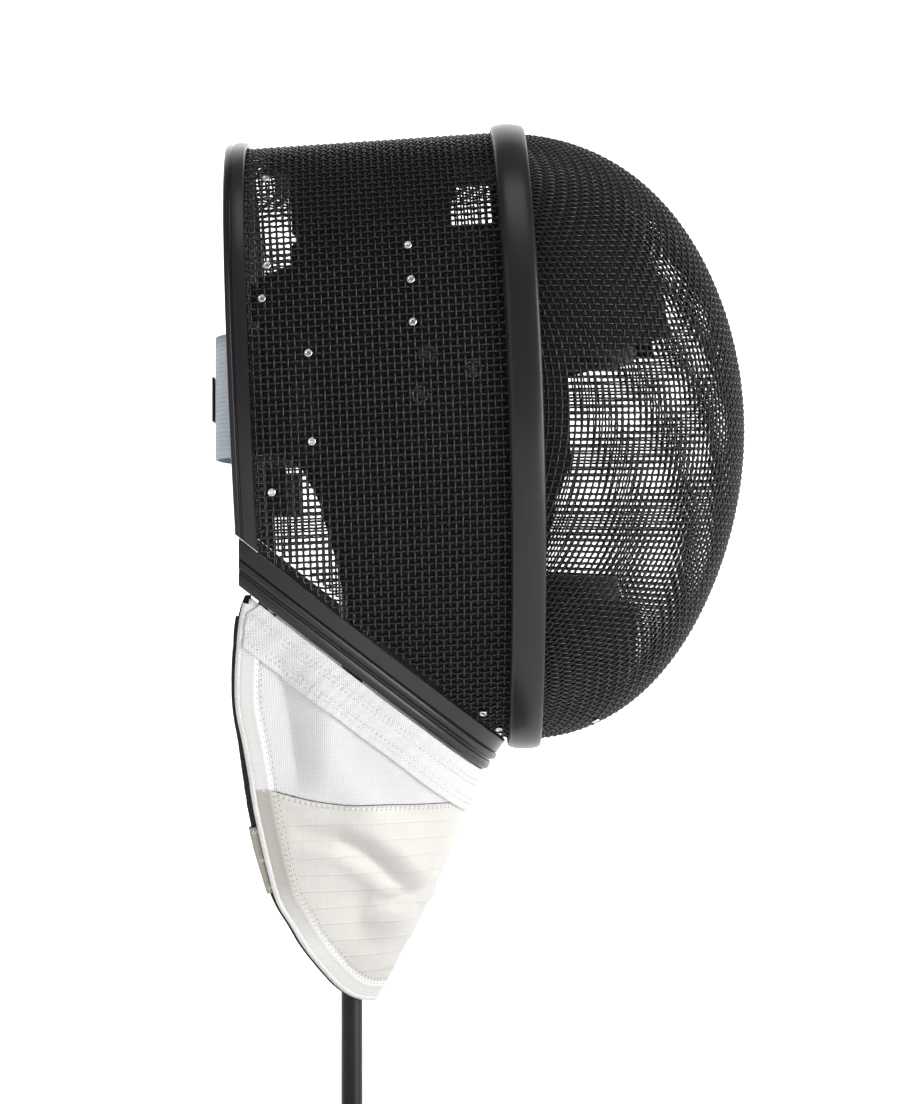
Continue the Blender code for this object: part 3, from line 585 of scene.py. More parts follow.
round_count = int(OUTLINE_LENGTH / MESH_PITCH)
along_count = int(CROWN_LENGTH / MESH_PITCH)
distances = [(step - round_count / 2) * MESH_PITCH for step in range(round_count + 1)]
shares = [CROWN_START + step * MESH_PITCH / CROWN_LENGTH for step in range(along_count + 1)]
shares = [share for share in shares if share < 1]
crown_net = np.array([[crown_place(d, share) for share in shares] for d in distances])
crown_keep = np.array([[below_jaw(Vector(point)) < WIRE_STOP for point in row] for row in crown_net])
crown_facing = net_facing(crown_net, (BAND_X - CROWN_LENGTH / 2, 0, MIDDLE_Z))
woven("crown_wires_along", "crown_mesh", lines_of(crown_net, crown_facing, crown_keep, 0))
woven("crown_wires_round", "crown_mesh", lines_across(crown_net, crown_facing, crown_keep))

# %% [markdown]
# ## The pressed front
#
# The front is drawn over a die in a press. The wires hardly stretch, so the cloth can take
# a round form only by shearing: near the nose the openings are square, and on the way to the
# corners they lean over into narrow diamonds. Such a net has a rule: every side of every
# opening keeps its length. It could be drawn as two sets of even arcs, but those would
# bunch up like the lines of a globe. So the net is grown from a cross through the middle,
# and each new crossing is the point on the die that lies one pitch from both neighbours.

# %% The net of the front
FRONT_PITCH = 0.0031
FRONT_WIRE = {"Radius": 0.00054, "Crimp": 0.00046, "Sides": 4}  # drawn finer than the crown's
FRONT_MIDDLE_UP = -0.05  # height share of the cross that the net grows from
NET_MARGIN = -0.006  # how far behind the band the net still grows


def die_gap(x, y, z):
    """Below 0 inside the front's form and above 0 outside it."""
    up = np.clip((z - MIDDLE_Z) / HALF_HEIGHT, -1.2, 1.2)
    depth = FRONT_DEPTH + FRONT_SLANT * up + FRONT_FULLNESS * up**4
    ahead = (x - (BAND_X - BAND_LEAN * up - BAND_BOW * up * up)) / depth
    side = np.abs(y) / (HALF_WIDTH * (1 + EGG_TAPER * up))
    return np.abs(up) ** 2 + side**SIDE_POWER + ahead**2 - 1


def die_slope(point):
    step = 1e-5
    x, y, z = point
    return np.array(
        [
            die_gap(x + step, y, z) - die_gap(x - step, y, z),
            die_gap(x, y + step, z) - die_gap(x, y - step, z),
            die_gap(x, y, z + step) - die_gap(x, y, z - step),
        ]
    ) / (2 * step)


def on_die(point):
    for _ in range(3):
        slope = die_slope(point)
        point = point - slope * die_gap(*point) / slope.dot(slope)
    return point


def next_crossing(beside, below, corner):
    """The point of the die one pitch from two neighbours, on the far side from a third."""
    point = on_die(beside + below - corner)
    for _ in range(12):
        to_beside, to_below = point - beside, point - below
        miss = np.array(
            [
                to_beside.dot(to_beside) - FRONT_PITCH**2,
                to_below.dot(to_below) - FRONT_PITCH**2,
                die_gap(*point) * FRONT_PITCH * 0.1,
            ]
        )
        slopes = np.array([2 * to_beside, 2 * to_below, die_slope(point) * FRONT_PITCH * 0.1])
        if abs(np.linalg.det(slopes / np.linalg.norm(slopes, axis=1, keepdims=True))) < 0.12:
            break
        point = point - np.linalg.solve(slopes, miss)
    return point


def even_line(curve, last, pitch):
    """Points at equal distances along a curve of one share, from 0 to last."""
    shares = spread(0, last, 1200)
    points = [curve(share) for share in shares]
    reach = lengths(points)
    count = int(reach[-1] / pitch)
    places = [float(np.interp(step * pitch, reach, shares)) for step in range(count + 1)]
    return [np.array(curve(place)) for place in places]


def quarter_net(level, upright):
    """The crossings between half of the level line and the upright line, up or down."""
    net = np.full((len(level), len(upright), 3), np.nan)
    net[:, 0] = level
    net[0, :] = upright
    for i in range(1, len(level)):
        for j in range(1, len(upright)):
            corner, beside, below = net[i - 1, j - 1], net[i - 1, j], net[i, j - 1]
            if not ahead_of_band(beside, NET_MARGIN) and not ahead_of_band(below, NET_MARGIN):
                continue
            if np.isnan(beside).any() or np.isnan(below).any() or np.isnan(corner).any():
                continue
            net[i, j] = next_crossing(beside, below, corner)
    return net


def ahead_of_band(point, margin):
    if np.isnan(point).any():
        return False
    return point[0] > band_x((point[2] - MIDDLE_Z) / HALF_HEIGHT) + margin


def tilted(up_first, up_last):
    """The upright middle line as a curve of one share, between two height shares."""
    first, last = math.asin(up_first), math.asin(up_last)
    return lambda share: front_point(math.sin(mix(first, last, share)), 0.0)


def level_curve(share):
    return front_point(FRONT_MIDDLE_UP, share * math.pi / 2)


level_line = even_line(level_curve, 1.0, FRONT_PITCH)
up_line = even_line(tilted(FRONT_MIDDLE_UP, 1.0), 1.0, FRONT_PITCH)
down_line = even_line(tilted(FRONT_MIDDLE_UP, -1.0), 1.0, FRONT_PITCH)
upper = quarter_net(level_line, up_line)
lower = quarter_net(level_line, down_line)
half_net = np.concatenate([lower[:, :0:-1], upper], axis=1)
front_net = np.concatenate([half_net[:0:-1] * [1, -1, 1], half_net], axis=0)
front_keep = np.array([[ahead_of_band(point, WIRE_START) for point in row] for row in front_net])
filled_net = np.nan_to_num(front_net)
front_facing = np.zeros_like(filled_net)
for place in zip(*np.nonzero(front_keep)):
    slope = die_slope(filled_net[place])
    front_facing[place] = slope / np.linalg.norm(slope)
print("front net", front_net.shape[:2], "crossings", int(front_keep.sum()))

upright_lines = lines_of(filled_net, front_facing, front_keep, 0)
woven("front_wires_upright", "front_mesh", upright_lines, **FRONT_WIRE)
level_lines = lines_across(filled_net, front_facing, front_keep)
woven("front_wires_level", "front_mesh", level_lines, **FRONT_WIRE)

# %% [markdown]
# ## Mouldings
#
# Three mouldings hold the wire cloth: the face band clamps the front to the crown, a channel
# covers the rear edge, and a heavier strip follows the jaw. Each is one section carried
# along a path. A curve with a bevel object would do it, but it turns the section about the
# curve, so here each section stands on the head's own surface.

# %% Sections along a path
MOULD_CREASE = 38  # degrees past which an edge of a moulding is sharp
SAME_PLACE = 1e-6


def frames(path, across, closed=False):
    """For each point of a path: the point, the direction across it and the one off the head."""
    made = []
    last = len(path) - 1
    middle = Vector((0, 0, MIDDLE_Z))
    for index, point in enumerate(path):
        before = path[index - 1] if index or closed else point
        after = path[(index + 1) % len(path)] if index < last or closed else point
        along = (after - before).normalized()
        width = (across[index] - along * across[index].dot(along)).normalized()
        out = along.cross(width)
        away = point - middle
        away.x = 0
        if out.dot(away) < 0:
            out.negate()
        made.append((point, width, out))
    return made


@contextmanager
def opened(mesh, crease=None):
    """The mesh opened for changes, then written back smooth, with sharp edges past an angle."""
    cage = bmesh.new()
    cage.from_mesh(mesh)
    yield cage
    cage.to_mesh(mesh)
    cage.free()
    mesh.shade_smooth()
    if crease:
        mesh.set_sharp_from_angle(angle=math.radians(crease))


def fill(cage, rim):
    """Closes an open rim and turns all faces outwards."""
    bmesh.ops.edgeloop_fill(cage, edges=rim)
    bmesh.ops.recalc_face_normals(cage, faces=cage.faces[:])


def swept(name, places, section, closed=False):
    """A closed section of (across, out) points carried through frames."""
    rows = [[point + width * a + out * b for a, b in section] for point, width, out in places]
    if closed:
        rows.append(rows[0])
    mesh = sheet_mesh(name, rows, closed=True)
    with opened(mesh, MOULD_CREASE) as cage:
        bmesh.ops.remove_doubles(cage, verts=cage.verts[:], dist=SAME_PLACE)
        if closed:
            bmesh.ops.recalc_face_normals(cage, faces=cage.faces[:])
        else:
            fill(cage, [edge for edge in cage.edges if edge.is_boundary])
    return mesh


def cut_flat(mesh, point, away):
    """The closed mesh cut by a plane, with the cut filled again."""
    with opened(mesh, MOULD_CREASE) as cage:
        everything = cage.verts[:] + cage.edges[:] + cage.faces[:]
        plane = {"plane_co": point, "plane_no": away, "clear_outer": True}
        cut = bmesh.ops.bisect_plane(cage, geom=everything, dist=SAME_PLACE, **plane)
        fill(cage, [item for item in cut["geom_cut"] if isinstance(item, bmesh.types.BMEdge)])


# %% [markdown]
# The mouldings are black plastic, satin where the mould was polished. A coarse, faint noise
# makes the gloss uneven, as handling does, and a fine one keeps the surface from looking
# like glass.

# %% The finish of the mouldings
MOULDED = (0.015, 0.015, 0.017)
moulding = Finish("moulded_trim", MOULDED, 0.3, {"Specular IOR Level": 0.4})
handled = moulding.noise(38.0, 5.0, 0.6)
moulding.set("Roughness", handled * 0.22 + 0.20)
moulding.bump(moulding.noise(900.0, 2.0), 0.12, 0.0002)

# %% The face band
BAND_WIDTH = 0.0155
BAND_HEIGHT = 0.0029
BAND_LIP = 0.0015
BAND_INNER_WIDTH = 0.0100
BAND_WEB = 0.0020
GAP = 0.0003
PATH_STEPS = 220


def rounded(half, low, height, power, steps):
    """The upper side of a section from one edge to the other, fuller with a lower power."""
    side = []
    for t in spread(0, math.pi, steps):
        side.append((-half * math.cos(t), low + height * math.sin(t) ** power))
    return side


band_seat = WEAVE_WALL / 2 + GAP
band_top = band_seat + CROWN_LIFT + 0.0002
cap = rounded(BAND_WIDTH / 2, band_top, BAND_HEIGHT, 0.62, 17)
inner = BAND_INNER_WIDTH / 2
web = BAND_WEB / 2
band_section = cap + [
    (web, band_top),
    (web, -band_seat),
    (inner, -band_seat),
    (inner, -band_seat - BAND_LIP),
    (-inner, -band_seat - BAND_LIP),
    (-inner, -band_seat),
    (-web, -band_seat),
    (-web, band_top),
]
band_turns = [turn_at(OUTLINE_LENGTH * (step / PATH_STEPS - 0.5)) for step in range(PATH_STEPS)]
band_path = [outline_point(turn) for turn in band_turns]
ahead = [Vector((1, 0, 0))] * PATH_STEPS
band_mesh = swept("face_band_moulding", frames(band_path, ahead, True), band_section, True)
settle("face_band_moulding", band_mesh, moulding, "moulded_trim", "face_band")
print("face band", len(band_mesh.polygons), "faces")

# %% [markdown]
# The channel on the rear edge has a flat outer face with a step before its rounded back. The
# jaw strip has three parts side by side: a flange that lies on the wire, and two beads with
# a groove between them.

# %% The rear channel and the jaw strip
REAR_TRIM_WIDTH = 0.0098
REAR_TRIM_BEHIND = 0.0044
TRIM_WALL = 0.0026
JAW_TRIM_WIDTH = 0.0170
JAW_TRIM_WALL = 0.0056
JAW_TRIM_BEHIND = 0.0030


def jaw_point(around):
    """Where the crown's wall meets the cut along the jaw."""
    near, far = -0.3, 1.6
    for _ in range(32):
        middle = (near + far) / 2
        if below_jaw(crown_point(around, middle)) < 0:
            near = middle
        else:
            far = middle
    return crown_point(around, near)


def corner_angle():
    """How far round the crown the cut reaches the rear edge."""
    above, below = math.pi / 3, math.pi
    for _ in range(32):
        middle = (above + below) / 2
        if below_jaw(crown_point(middle, 1.0)) > 0:
            below = middle
        else:
            above = middle
    return above


def resample(points, count):
    """Points at equal distances along a path."""
    reach = lengths(points)
    wanted = spread(0, reach[-1], count)
    columns = [np.interp(wanted, reach, [point[axis] for point in points]) for axis in range(3)]
    return [Vector(values) for values in zip(*columns)]


CORNER_ANGLE = corner_angle()
CORNER = crown_point(CORNER_ANGLE, 1.0)


def jaw_path(count, past=0.0):
    """The cut from the right rear corner round the chin to the left one."""
    start = -CORNER_ANGLE + past
    return resample([jaw_point(turn) for turn in spread(start, -(2 * math.pi + start), 481)], count)


back = REAR_TRIM_BEHIND
front = back - REAR_TRIM_WIDTH
rear_seat = WEAVE_WALL / 2 + GAP
rear_outer = rear_seat + TRIM_WALL
rear_section = [
    (front, rear_seat),
    (front, rear_outer - 0.0009),
    (front + 0.0005, rear_outer - 0.0002),
    (front * 0.62, rear_outer),
    (front * 0.20, rear_outer + 0.0001),
    (back * 0.10, rear_outer - 0.0001),
    (back * 0.20, rear_outer - 0.0010),
    (back * 0.34, rear_outer - 0.0010),
    (back * 0.48, rear_outer - 0.0005),
    (back * 0.80, rear_outer - 0.0007),
    (back * 0.95, rear_outer - 0.0013),
    (back, rear_outer - 0.0024),
    (back, -rear_outer + 0.0020),
    (back * 0.85, -rear_outer + 0.0006),
    (back * 0.5, -rear_outer + 0.0003),
    (front, -rear_outer + 0.0006),
    (front, -rear_seat),
    (GAP, -rear_seat),
    (GAP, rear_seat),
]
rear_turns = spread(-CORNER_ANGLE - 0.2, CORNER_ANGLE + 0.2, 150)
rear_path = [crown_point(turn, 1.0) for turn in rear_turns]
rearward = [crown_point(turn, 1.0) - crown_point(turn, 0.95) for turn in rear_turns]
rear_mesh = swept("rear_channel", frames(rear_path, rearward), rear_section)
cut_flat(rear_mesh, JAW_POINT - DOWN_JAW * GAP, DOWN_JAW)
settle("rear_channel", rear_mesh, moulding, "moulded_trim", "rear_trim")

half = JAW_TRIM_WALL / 2


def bead(start, end, height, steps):
    """A rounded rib of the section, between two shares of the strip's width."""
    centre, reach = (start + end) / 2, (end - start) / 2
    ribs = []
    for t in spread(0, math.pi, steps):
        place = JAW_TRIM_WIDTH * (centre - reach * math.cos(t))
        ribs.append((place, half * (0.62 + (height - 0.62) * math.sin(t) ** 0.8)))
    return ribs


jaw_section = [(0, half * 0.62), (JAW_TRIM_WIDTH * 0.02, half * 0.74)]
jaw_section += [(JAW_TRIM_WIDTH * 0.40, half * 0.80)]
jaw_section += bead(0.44, 0.66, 1.22, 9) + bead(0.71, 0.99, 1.28, 11)
jaw_section += [
    (JAW_TRIM_WIDTH, -half * 0.55),
    (JAW_TRIM_WIDTH * 0.96, -half * 0.85),
    (JAW_TRIM_WIDTH * 0.80, -half),
    (0, -half * 0.7),
]
jaw_places = frames(jaw_path(200, past=0.07), [DOWN_JAW] * 200)
jaw_mesh = swept("jaw_strip", jaw_places, jaw_section)
jaw_rear = rear_x((CORNER.z - MIDDLE_Z) / HALF_HEIGHT) - JAW_TRIM_BEHIND
cut_flat(jaw_mesh, Vector((jaw_rear, 0, 0)), Vector((-1, 0, 0)))
settle("jaw_strip", jaw_mesh, moulding, "moulded_trim", "jaw_trim")
print("jaw strip", round(lengths(jaw_path(200))[-1], 3), "long")

# %% [markdown]
# ## Studs
#
# Small bright rivets hold the lining to the wire, and larger press studs sit on the pads
# inside. Both are a rolled ring with a dished middle. One tree makes the head once from a
# ring and a flattened ball, sets a copy on every point and turns it to the wall it sits on.

# %% The tree that sets studs on points
def stud_tree():
    tree = new_tree(
        "studs",
        {
            "Radius": ("Float", 0.0019),
            "Roll": ("Float", 0.0005),
            "Dish": ("Float", 0.35),
            "Metal": ("Material", None),
        },
    )
    given = wire(tree, "NodeGroupInput").outputs
    facing = wire(tree, "GeometryNodeInputNamedAttribute", {"Name": "facing"}, data_type="FLOAT_VECTOR")
    reach = wire(tree, "ShaderNodeMath", {0: given["Radius"], 1: given["Roll"]}, operation="SUBTRACT")
    sockets = {"Resolution": 20, "Radius": reach.outputs[0]}
    circle = wire(tree, "GeometryNodeCurvePrimitiveCircle", sockets)
    sockets = {"Resolution": 8, "Radius": given["Roll"]}
    roll = wire(tree, "GeometryNodeCurvePrimitiveCircle", sockets)
    sockets = {"Curve": circle.outputs[0], "Profile Curve": roll.outputs[0]}
    ring = wire(tree, "GeometryNodeCurveToMesh", sockets)
    sockets = {"Segments": 16, "Rings": 8, "Radius": reach.outputs[0]}
    ball = wire(tree, "GeometryNodeMeshUVSphere", sockets)
    size = wire(tree, "ShaderNodeCombineXYZ", {"X": 1.0, "Y": 1.0, "Z": given["Dish"]})
    sockets = {"Geometry": ball.outputs[0], "Scale": size.outputs[0]}
    dish = wire(tree, "GeometryNodeTransform", sockets)
    head = wire(tree, "GeometryNodeJoinGeometry")
    for part in (ring, dish):
        tree.links.new(part.outputs[0], head.inputs[0])
    sockets = {"Vector": facing.outputs[0]}
    turned = wire(tree, "FunctionNodeAlignRotationToVector", sockets, axis="Z")
    sockets = {"Points": given["Geometry"], "Instance": head.outputs[0], "Rotation": turned.outputs[0]}
    placed = wire(tree, "GeometryNodeInstanceOnPoints", sockets)
    return deliver(tree, placed, given["Metal"])


STUDS = stud_tree()


def mirrored(rows, sign):
    """Rows of points moved to the wearer's right, at -1, or left, at 1."""
    return [[Vector((point.x, sign * abs(point.y), point.z)) for point in row] for row in rows]


def crown_facing_at(around, along):
    step = 0.01
    across = crown_point(around + step, along) - crown_point(around - step, along)
    length = crown_point(around, along + step) - crown_point(around, along - step)
    normal = across.cross(length).normalized()
    away = crown_point(around, along) - Vector((BAND_X, 0, MIDDLE_Z))
    away.x = 0
    return normal if normal.dot(away) > 0 else -normal


def studs(name, places, finish, slot, nodes, **sizes):
    """One piece with a stud at each (point, facing)."""
    points = [point for point, facing in places]
    fields = {"facing": [value for point, facing in places for value in facing]}
    return grown(name, points, [], fields, STUDS, {"Metal": finish.material, **sizes}, slot, nodes)


# %% [markdown]
# Nickel is a bright metal with a faint warm cast. The heads have been touched and polished,
# so a fine noise moves their roughness between mirror and satin.

# %% Rivets and press studs
nickel = Finish("nickel", (0.74, 0.71, 0.66), 0.2, {"Metallic": 1.0})
nickel.set("Roughness", nickel.noise(700.0) * 0.25 + 0.10)
CLEAR_COAT = {"Coat Weight": 0.6, "Coat Roughness": 0.08}
snap_black = Finish("snap_plastic", (0.060, 0.060, 0.062), 0.12, CLEAR_COAT)
snap_black.set("Roughness", snap_black.noise(400.0) * 0.16 + 0.08)

RIVET_SIZES = {"Radius": 0.0019, "Roll": 0.00058, "Dish": 0.16}
RIVET_LIFT = WEAVE_WALL / 2 + 0.0003
SNAP_SIZES = {"Radius": 0.0045, "Roll": 0.0010, "Dish": 0.10}
SNAP_LIFT = -0.0020
SIDES = (("right", -1), ("left", 1))
SIDE_PAD_INSET = WEAVE_WALL / 2 + BAND_LIP + 4 * GAP
RIVETS = (
    # name, share of the crown's length, height share
    ("rear_top", 0.882, 0.846),
    ("rear_upper", 0.883, 0.538),
    ("tab_upper", 0.905, 0.427),
    ("strap_upper", 0.750, 0.248),
    ("strap_lower", 0.750, -0.032),
    ("tab_lower", 0.898, -0.192),
    ("pad_top", 0.387, 0.594),
    ("pad_middle", 0.383, 0.482),
    ("pad_lower", 0.383, 0.345),
    ("chin", 0.161, -0.901),
)
SNAPS = (
    ("rear", 0.339, 0.246),
    ("front", 0.182, 0.197),
    ("lower", 0.369, 0.116),
)
rivet_places, snap_places, rivet_nodes, snap_nodes = [], [], [], []
for side, sign in SIDES:
    for table, places, nodes, kind, lift in (
        (RIVETS, rivet_places, rivet_nodes, "rivet", RIVET_LIFT),
        (SNAPS, snap_places, snap_nodes, "snap", SNAP_LIFT),
    ):
        for name, along, up in table:
            around = math.acos(up) * sign
            facing = crown_facing_at(around, along)
            places.append((crown_point(around, along) + facing * lift, facing))
            nodes.append(f"{kind}_{name}_{side}")
# Two more rivets hold the trim at the chin: one behind the face band and one ahead of it.
BEHIND_BAND = (-0.955, 0.100)  # height share, share of the crown's length
BEFORE_BAND = (-0.930, 0.0324)  # height share, metres ahead of the band
for side, sign in SIDES:
    up, along = BEHIND_BAND
    around = math.acos(up) * sign
    facing = crown_facing_at(around, along)
    rivet_places.append((crown_point(around, along) + facing * RIVET_LIFT, facing))
    up, forward = BEFORE_BAND
    swing = math.acos(forward / (front_depth(up, 0.0) * math.sqrt(1 - up * up)))
    here = front_point(up, swing, 0.0)
    facing = (here - front_point(up, swing, 0.001)).normalized()
    [[here, facing]] = mirrored([[here, facing]], sign)
    rivet_places.append((here + facing * RIVET_LIFT, facing))
studs("rivets", rivet_places, nickel, "nickel", rivet_nodes, **RIVET_SIZES)
studs("press_studs", snap_places, snap_black, "snap_plastic", snap_nodes, **SNAP_SIZES)
print(len(rivet_places), "rivets,", len(snap_places), "press studs")

# %% [markdown]
# ## The padding
#
# The pads are foam in a black knitted cloth. A block would look like a block, so each one
# starts as a thin sheet that follows the head, is given its thickness, and is then inflated
# as cloth: the voxel remesh gives even faces and the pressure swells the middle.
# What the swelling may move is capped, so a pad stays clear of the wire.

# %% Pads
PAD_THICKNESS = 0.0100
PAD_EASE = 0.0020
PAD_OVER_JAW = 0.0025
PAD_OVER_CHIN = 0.0135
SIDE_PAD_TOP = 0.72
BROW_REACH = 0.0500
CHIN_REACH = 0.0400
BOW_POWER = 2.8
PAD_SWELL = 0.0016
PAD_VOXEL = 0.0020
SWELL_FRAMES = 20
SIDE_PAD = (
    # height share, rear edge and front edge as shares of the crown's length
    (0.00, 0.58, -0.02),
    (0.25, 0.71, -0.03),
    (0.50, 0.78, -0.15),
    (0.75, 0.82, -0.05),
    (1.00, 0.72, -0.02),
)


def side_wall(up, along, inset):
    """The head's side at a height, behind the band or, below 0, ahead of it."""
    if along >= 0:
        return crown_point(math.acos(up), along, inset)
    level = math.sqrt(1 - up * up)
    return front_point(up, math.acos(-along * CROWN_LENGTH / (front_depth(up, inset) * level)), inset)


def lean_stretch(up):
    """How much wider the head's wall is across than through, where it leans inwards."""
    rise = side_wall(up + 0.02, 0, 0) - side_wall(up - 0.02, 0, 0)
    return rise.length / rise.z


def pad_foot(along):
    """The height share of a side pad's lower edge, just over the cut along the jaw."""
    x = BAND_X - CROWN_LENGTH * along
    z = JAW_POINT.z + (JAW_POINT.x - x) * math.tan(JAW_ANGLE)
    return (max(z, JAW_POINT.z + PAD_OVER_CHIN) + PAD_OVER_JAW - MIDDLE_Z) / HALF_HEIGHT


def column(table, place, index=1):
    """A column of a table, read evenly between the two rows round a place."""
    rows = sorted(table)
    return float(np.interp(place, [row[0] for row in rows], [row[index] for row in rows]))


def side_pad_rows(sign):
    rows = []
    for level in spread(0, 1, 34):
        rear, ahead_share = column(SIDE_PAD, level, 1), column(SIDE_PAD, level, 2)
        row = []
        for across in spread(0.012, 0.988, 24):
            along = mix(rear, ahead_share, across)
            up = mix(pad_foot(along), SIDE_PAD_TOP, mix(0.012, 0.988, level))
            point = side_wall(up, along, SIDE_PAD_INSET + PAD_THICKNESS / 2)
            point.y *= sign
            row.append(point)
        rows.append(row)
    return rows


def bow_pad_rows(low, high, reach):
    rows = []
    for level in spread(0.03, 0.97, 14):
        up = mix(low, high, level)
        inset = SIDE_PAD_INSET + PAD_EASE + GAP + PAD_THICKNESS * (0.5 + lean_stretch(up))
        side = side_wall(up, 0, inset)
        row = []
        for turn in spread(-math.pi / 2, math.pi / 2, 61):
            out = reach * abs(math.cos(turn)) ** (2 / BOW_POWER)
            across = math.copysign(abs(math.sin(turn)) ** (2 / BOW_POWER), turn)
            row.append(Vector((side.x + out, side.y * across, side.z)))
        rows.append(row)
    return rows


def applied(piece):
    """The piece's mesh with its modifiers applied."""
    graph = bpy.context.evaluated_depsgraph_get()
    made = bpy.data.meshes.new_from_object(piece.evaluated_get(graph))
    bpy.data.objects.remove(piece, do_unlink=True)
    return made


def thick(piece, thickness, offset=0.0):
    solid = piece.modifiers.new("thickness", "SOLIDIFY")
    solid.thickness = thickness
    solid.offset = offset
    solid.use_quality_normals = True


def pad_body(name, rows, thickness):
    """A sheet given a thickness with rounded rims, remeshed to even faces."""
    body = link(name + "_body", sheet_mesh(name, rows))
    thick(body, thickness)
    remesh = body.modifiers.new("even", "REMESH")
    remesh.mode = "VOXEL"
    remesh.voxel_size = PAD_VOXEL
    relax = body.modifiers.new("relax", "SMOOTH")
    relax.factor = 0.5
    relax.iterations = 6
    return applied(body)


def swollen(name, mesh):
    """The pad blown up as cloth for a few frames, with each point's way capped."""
    before = np.empty(len(mesh.vertices) * 3)
    mesh.vertices.foreach_get("co", before)
    scene = bpy.context.scene
    body = link(name + "_cloth", mesh)
    cloth = body.modifiers.new("cloth", "CLOTH")
    cloth.settings.quality = 4
    cloth.settings.mass = 0.15
    cloth.settings.tension_stiffness = 25
    cloth.settings.compression_stiffness = 25
    cloth.settings.bending_stiffness = 4
    cloth.settings.use_pressure = True
    cloth.settings.uniform_pressure_force = 4
    cloth.settings.effector_weights.gravity = 0
    cloth.point_cache.frame_start = 1
    cloth.point_cache.frame_end = SWELL_FRAMES
    for step in range(1, SWELL_FRAMES + 1):
        scene.frame_set(step)
    made = applied(body)
    scene.frame_set(1)
    after = np.empty(len(made.vertices) * 3)
    made.vertices.foreach_get("co", after)
    way = (after - before).reshape(-1, 3)
    length = np.linalg.norm(way, axis=1, keepdims=True)
    way *= np.minimum(1, PAD_SWELL / np.maximum(length, 1e-9))
    made.vertices.foreach_set("co", (before.reshape(-1, 3) + way).ravel())
    made.update()
    return made


# %% [markdown]
# The padding cloth is a black warp knit with a dull nap. Fine ribs in the bump node carry
# the knit, and a broad noise makes it look brushed here and there.

# %% The finish of the padding
NAP = {"Sheen Weight": 0.15, "Sheen Roughness": 0.5}
padding = Finish("padding_cloth", (0.008, 0.008, 0.009), 0.9, NAP)
knit = padding.waves(260.0, distortion=1.5)
brushed = padding.blend(padding.noise(45.0), (0.005, 0.005, 0.006), (0.013, 0.013, 0.014))
padding.set("Base Color", brushed)
padding.bump(knit + padding.noise(500.0) * 0.6, 0.5, 0.0004)

pads = {
    "side_pad_right": side_pad_rows(-1),
    "side_pad_left": side_pad_rows(1),
    "forehead_pad": bow_pad_rows(0.27, 0.66, BROW_REACH),
    "chin_pad": bow_pad_rows(-0.78, -0.54, CHIN_REACH),
}
for node, rows in pads.items():
    mesh = swollen(node, pad_body(node, rows, PAD_THICKNESS - 2 * PAD_SWELL))
    mesh.shade_smooth()
    pad = settle(node + "_foam", mesh, padding, "padding_cloth", node)
    print(node, len(mesh.polygons), "faces")

# %% [markdown]
# ## The back strap
#
# A wide elastic strap closes the back: pale where it shows behind the head, black where it
# is sewn to the wire inside. It is flat webbing, so it is modelled as a sheet with a thickness.
# Its weave is a pattern across and along the strap, read from a map that unrolls it.

# %% The strap and its patch
STRAP_ALONG = 0.750
STRAP_WIDTH = 0.0560
STRAP_WALL = 0.0018
STRAP_BEHIND = 0.0145
STRAP_PAST_RIVET = 0.0030
STRAP_POWER = 3.0
STRAP_OVER_RIVET = 0.0100
PATCH_HEIGHT = 0.0200
PATCH_WALL = 0.0012
PATCH_TURN = math.radians(14)


def strap_bow(turn, reach, over=0.0):
    power = 2 / STRAP_POWER
    rear = rear_x(0) - STRAP_BEHIND - over
    start = mix(band_x(0), rear_x(0), STRAP_ALONG) + STRAP_PAST_RIVET
    x = mix(start, rear, abs(math.cos(turn)) ** power)
    return x, math.copysign((reach + over) * abs(math.sin(turn)) ** power, turn)


def mapped(mesh, rows):
    """Adds a map in metres: along a row, and from row to row."""
    width = len(rows[0])
    middle_row = rows[len(rows) // 2]
    middle_column = [row[width // 2] for row in rows]
    across, down = lengths(middle_row), lengths(middle_column)
    layer = mesh.uv_layers.new(name="cloth")
    for loop in mesh.loops:
        row, step = divmod(loop.vertex_index, width)
        layer.data[loop.index].uv = (across[step], down[row])
    return mesh


def cut_from(rows):
    """Works out the rectangle a sheet was cut from, its longest row by its longest column; the sizes are
    not kept.
    """
    width = max(lengths(row)[-1] for row in rows)
    length = max(lengths(column)[-1] for column in zip(*rows))


def laid(name, rows, finish, slot, wall, held, rests_on, *nodes):
    """A cloth through rows of points, with its thickness."""
    cloth = settle(name, sheet_mesh(name, rows), finish, slot, *nodes)
    thick(cloth, wall)
    cut_from(rows)


def mapped_cloth(name, rows, finish, slot, wall, node):
    """A cloth with a map in metres, which its weave follows."""
    cloth = settle(name, mapped(sheet_mesh(name, rows), rows), finish, slot, node)
    thick(cloth, wall)
    return cloth


def strap_rows(over, low, high, turns):
    rivet_up = next(up for name, along, up in RIVETS if name == "strap_upper")
    top = crown_point(math.acos(rivet_up), STRAP_ALONG).z + STRAP_OVER_RIVET
    rows = []
    for share in spread(low, high, 9):
        z = top - STRAP_WIDTH * share
        inset = WEAVE_WALL / 2 + 2 * GAP + STRAP_WALL / 2
        reach = crown_point(math.acos((z - MIDDLE_Z) / HALF_HEIGHT), STRAP_ALONG, inset).y
        rows.append([Vector((*strap_bow(turn, reach, over), z)) for turn in turns])
    return rows


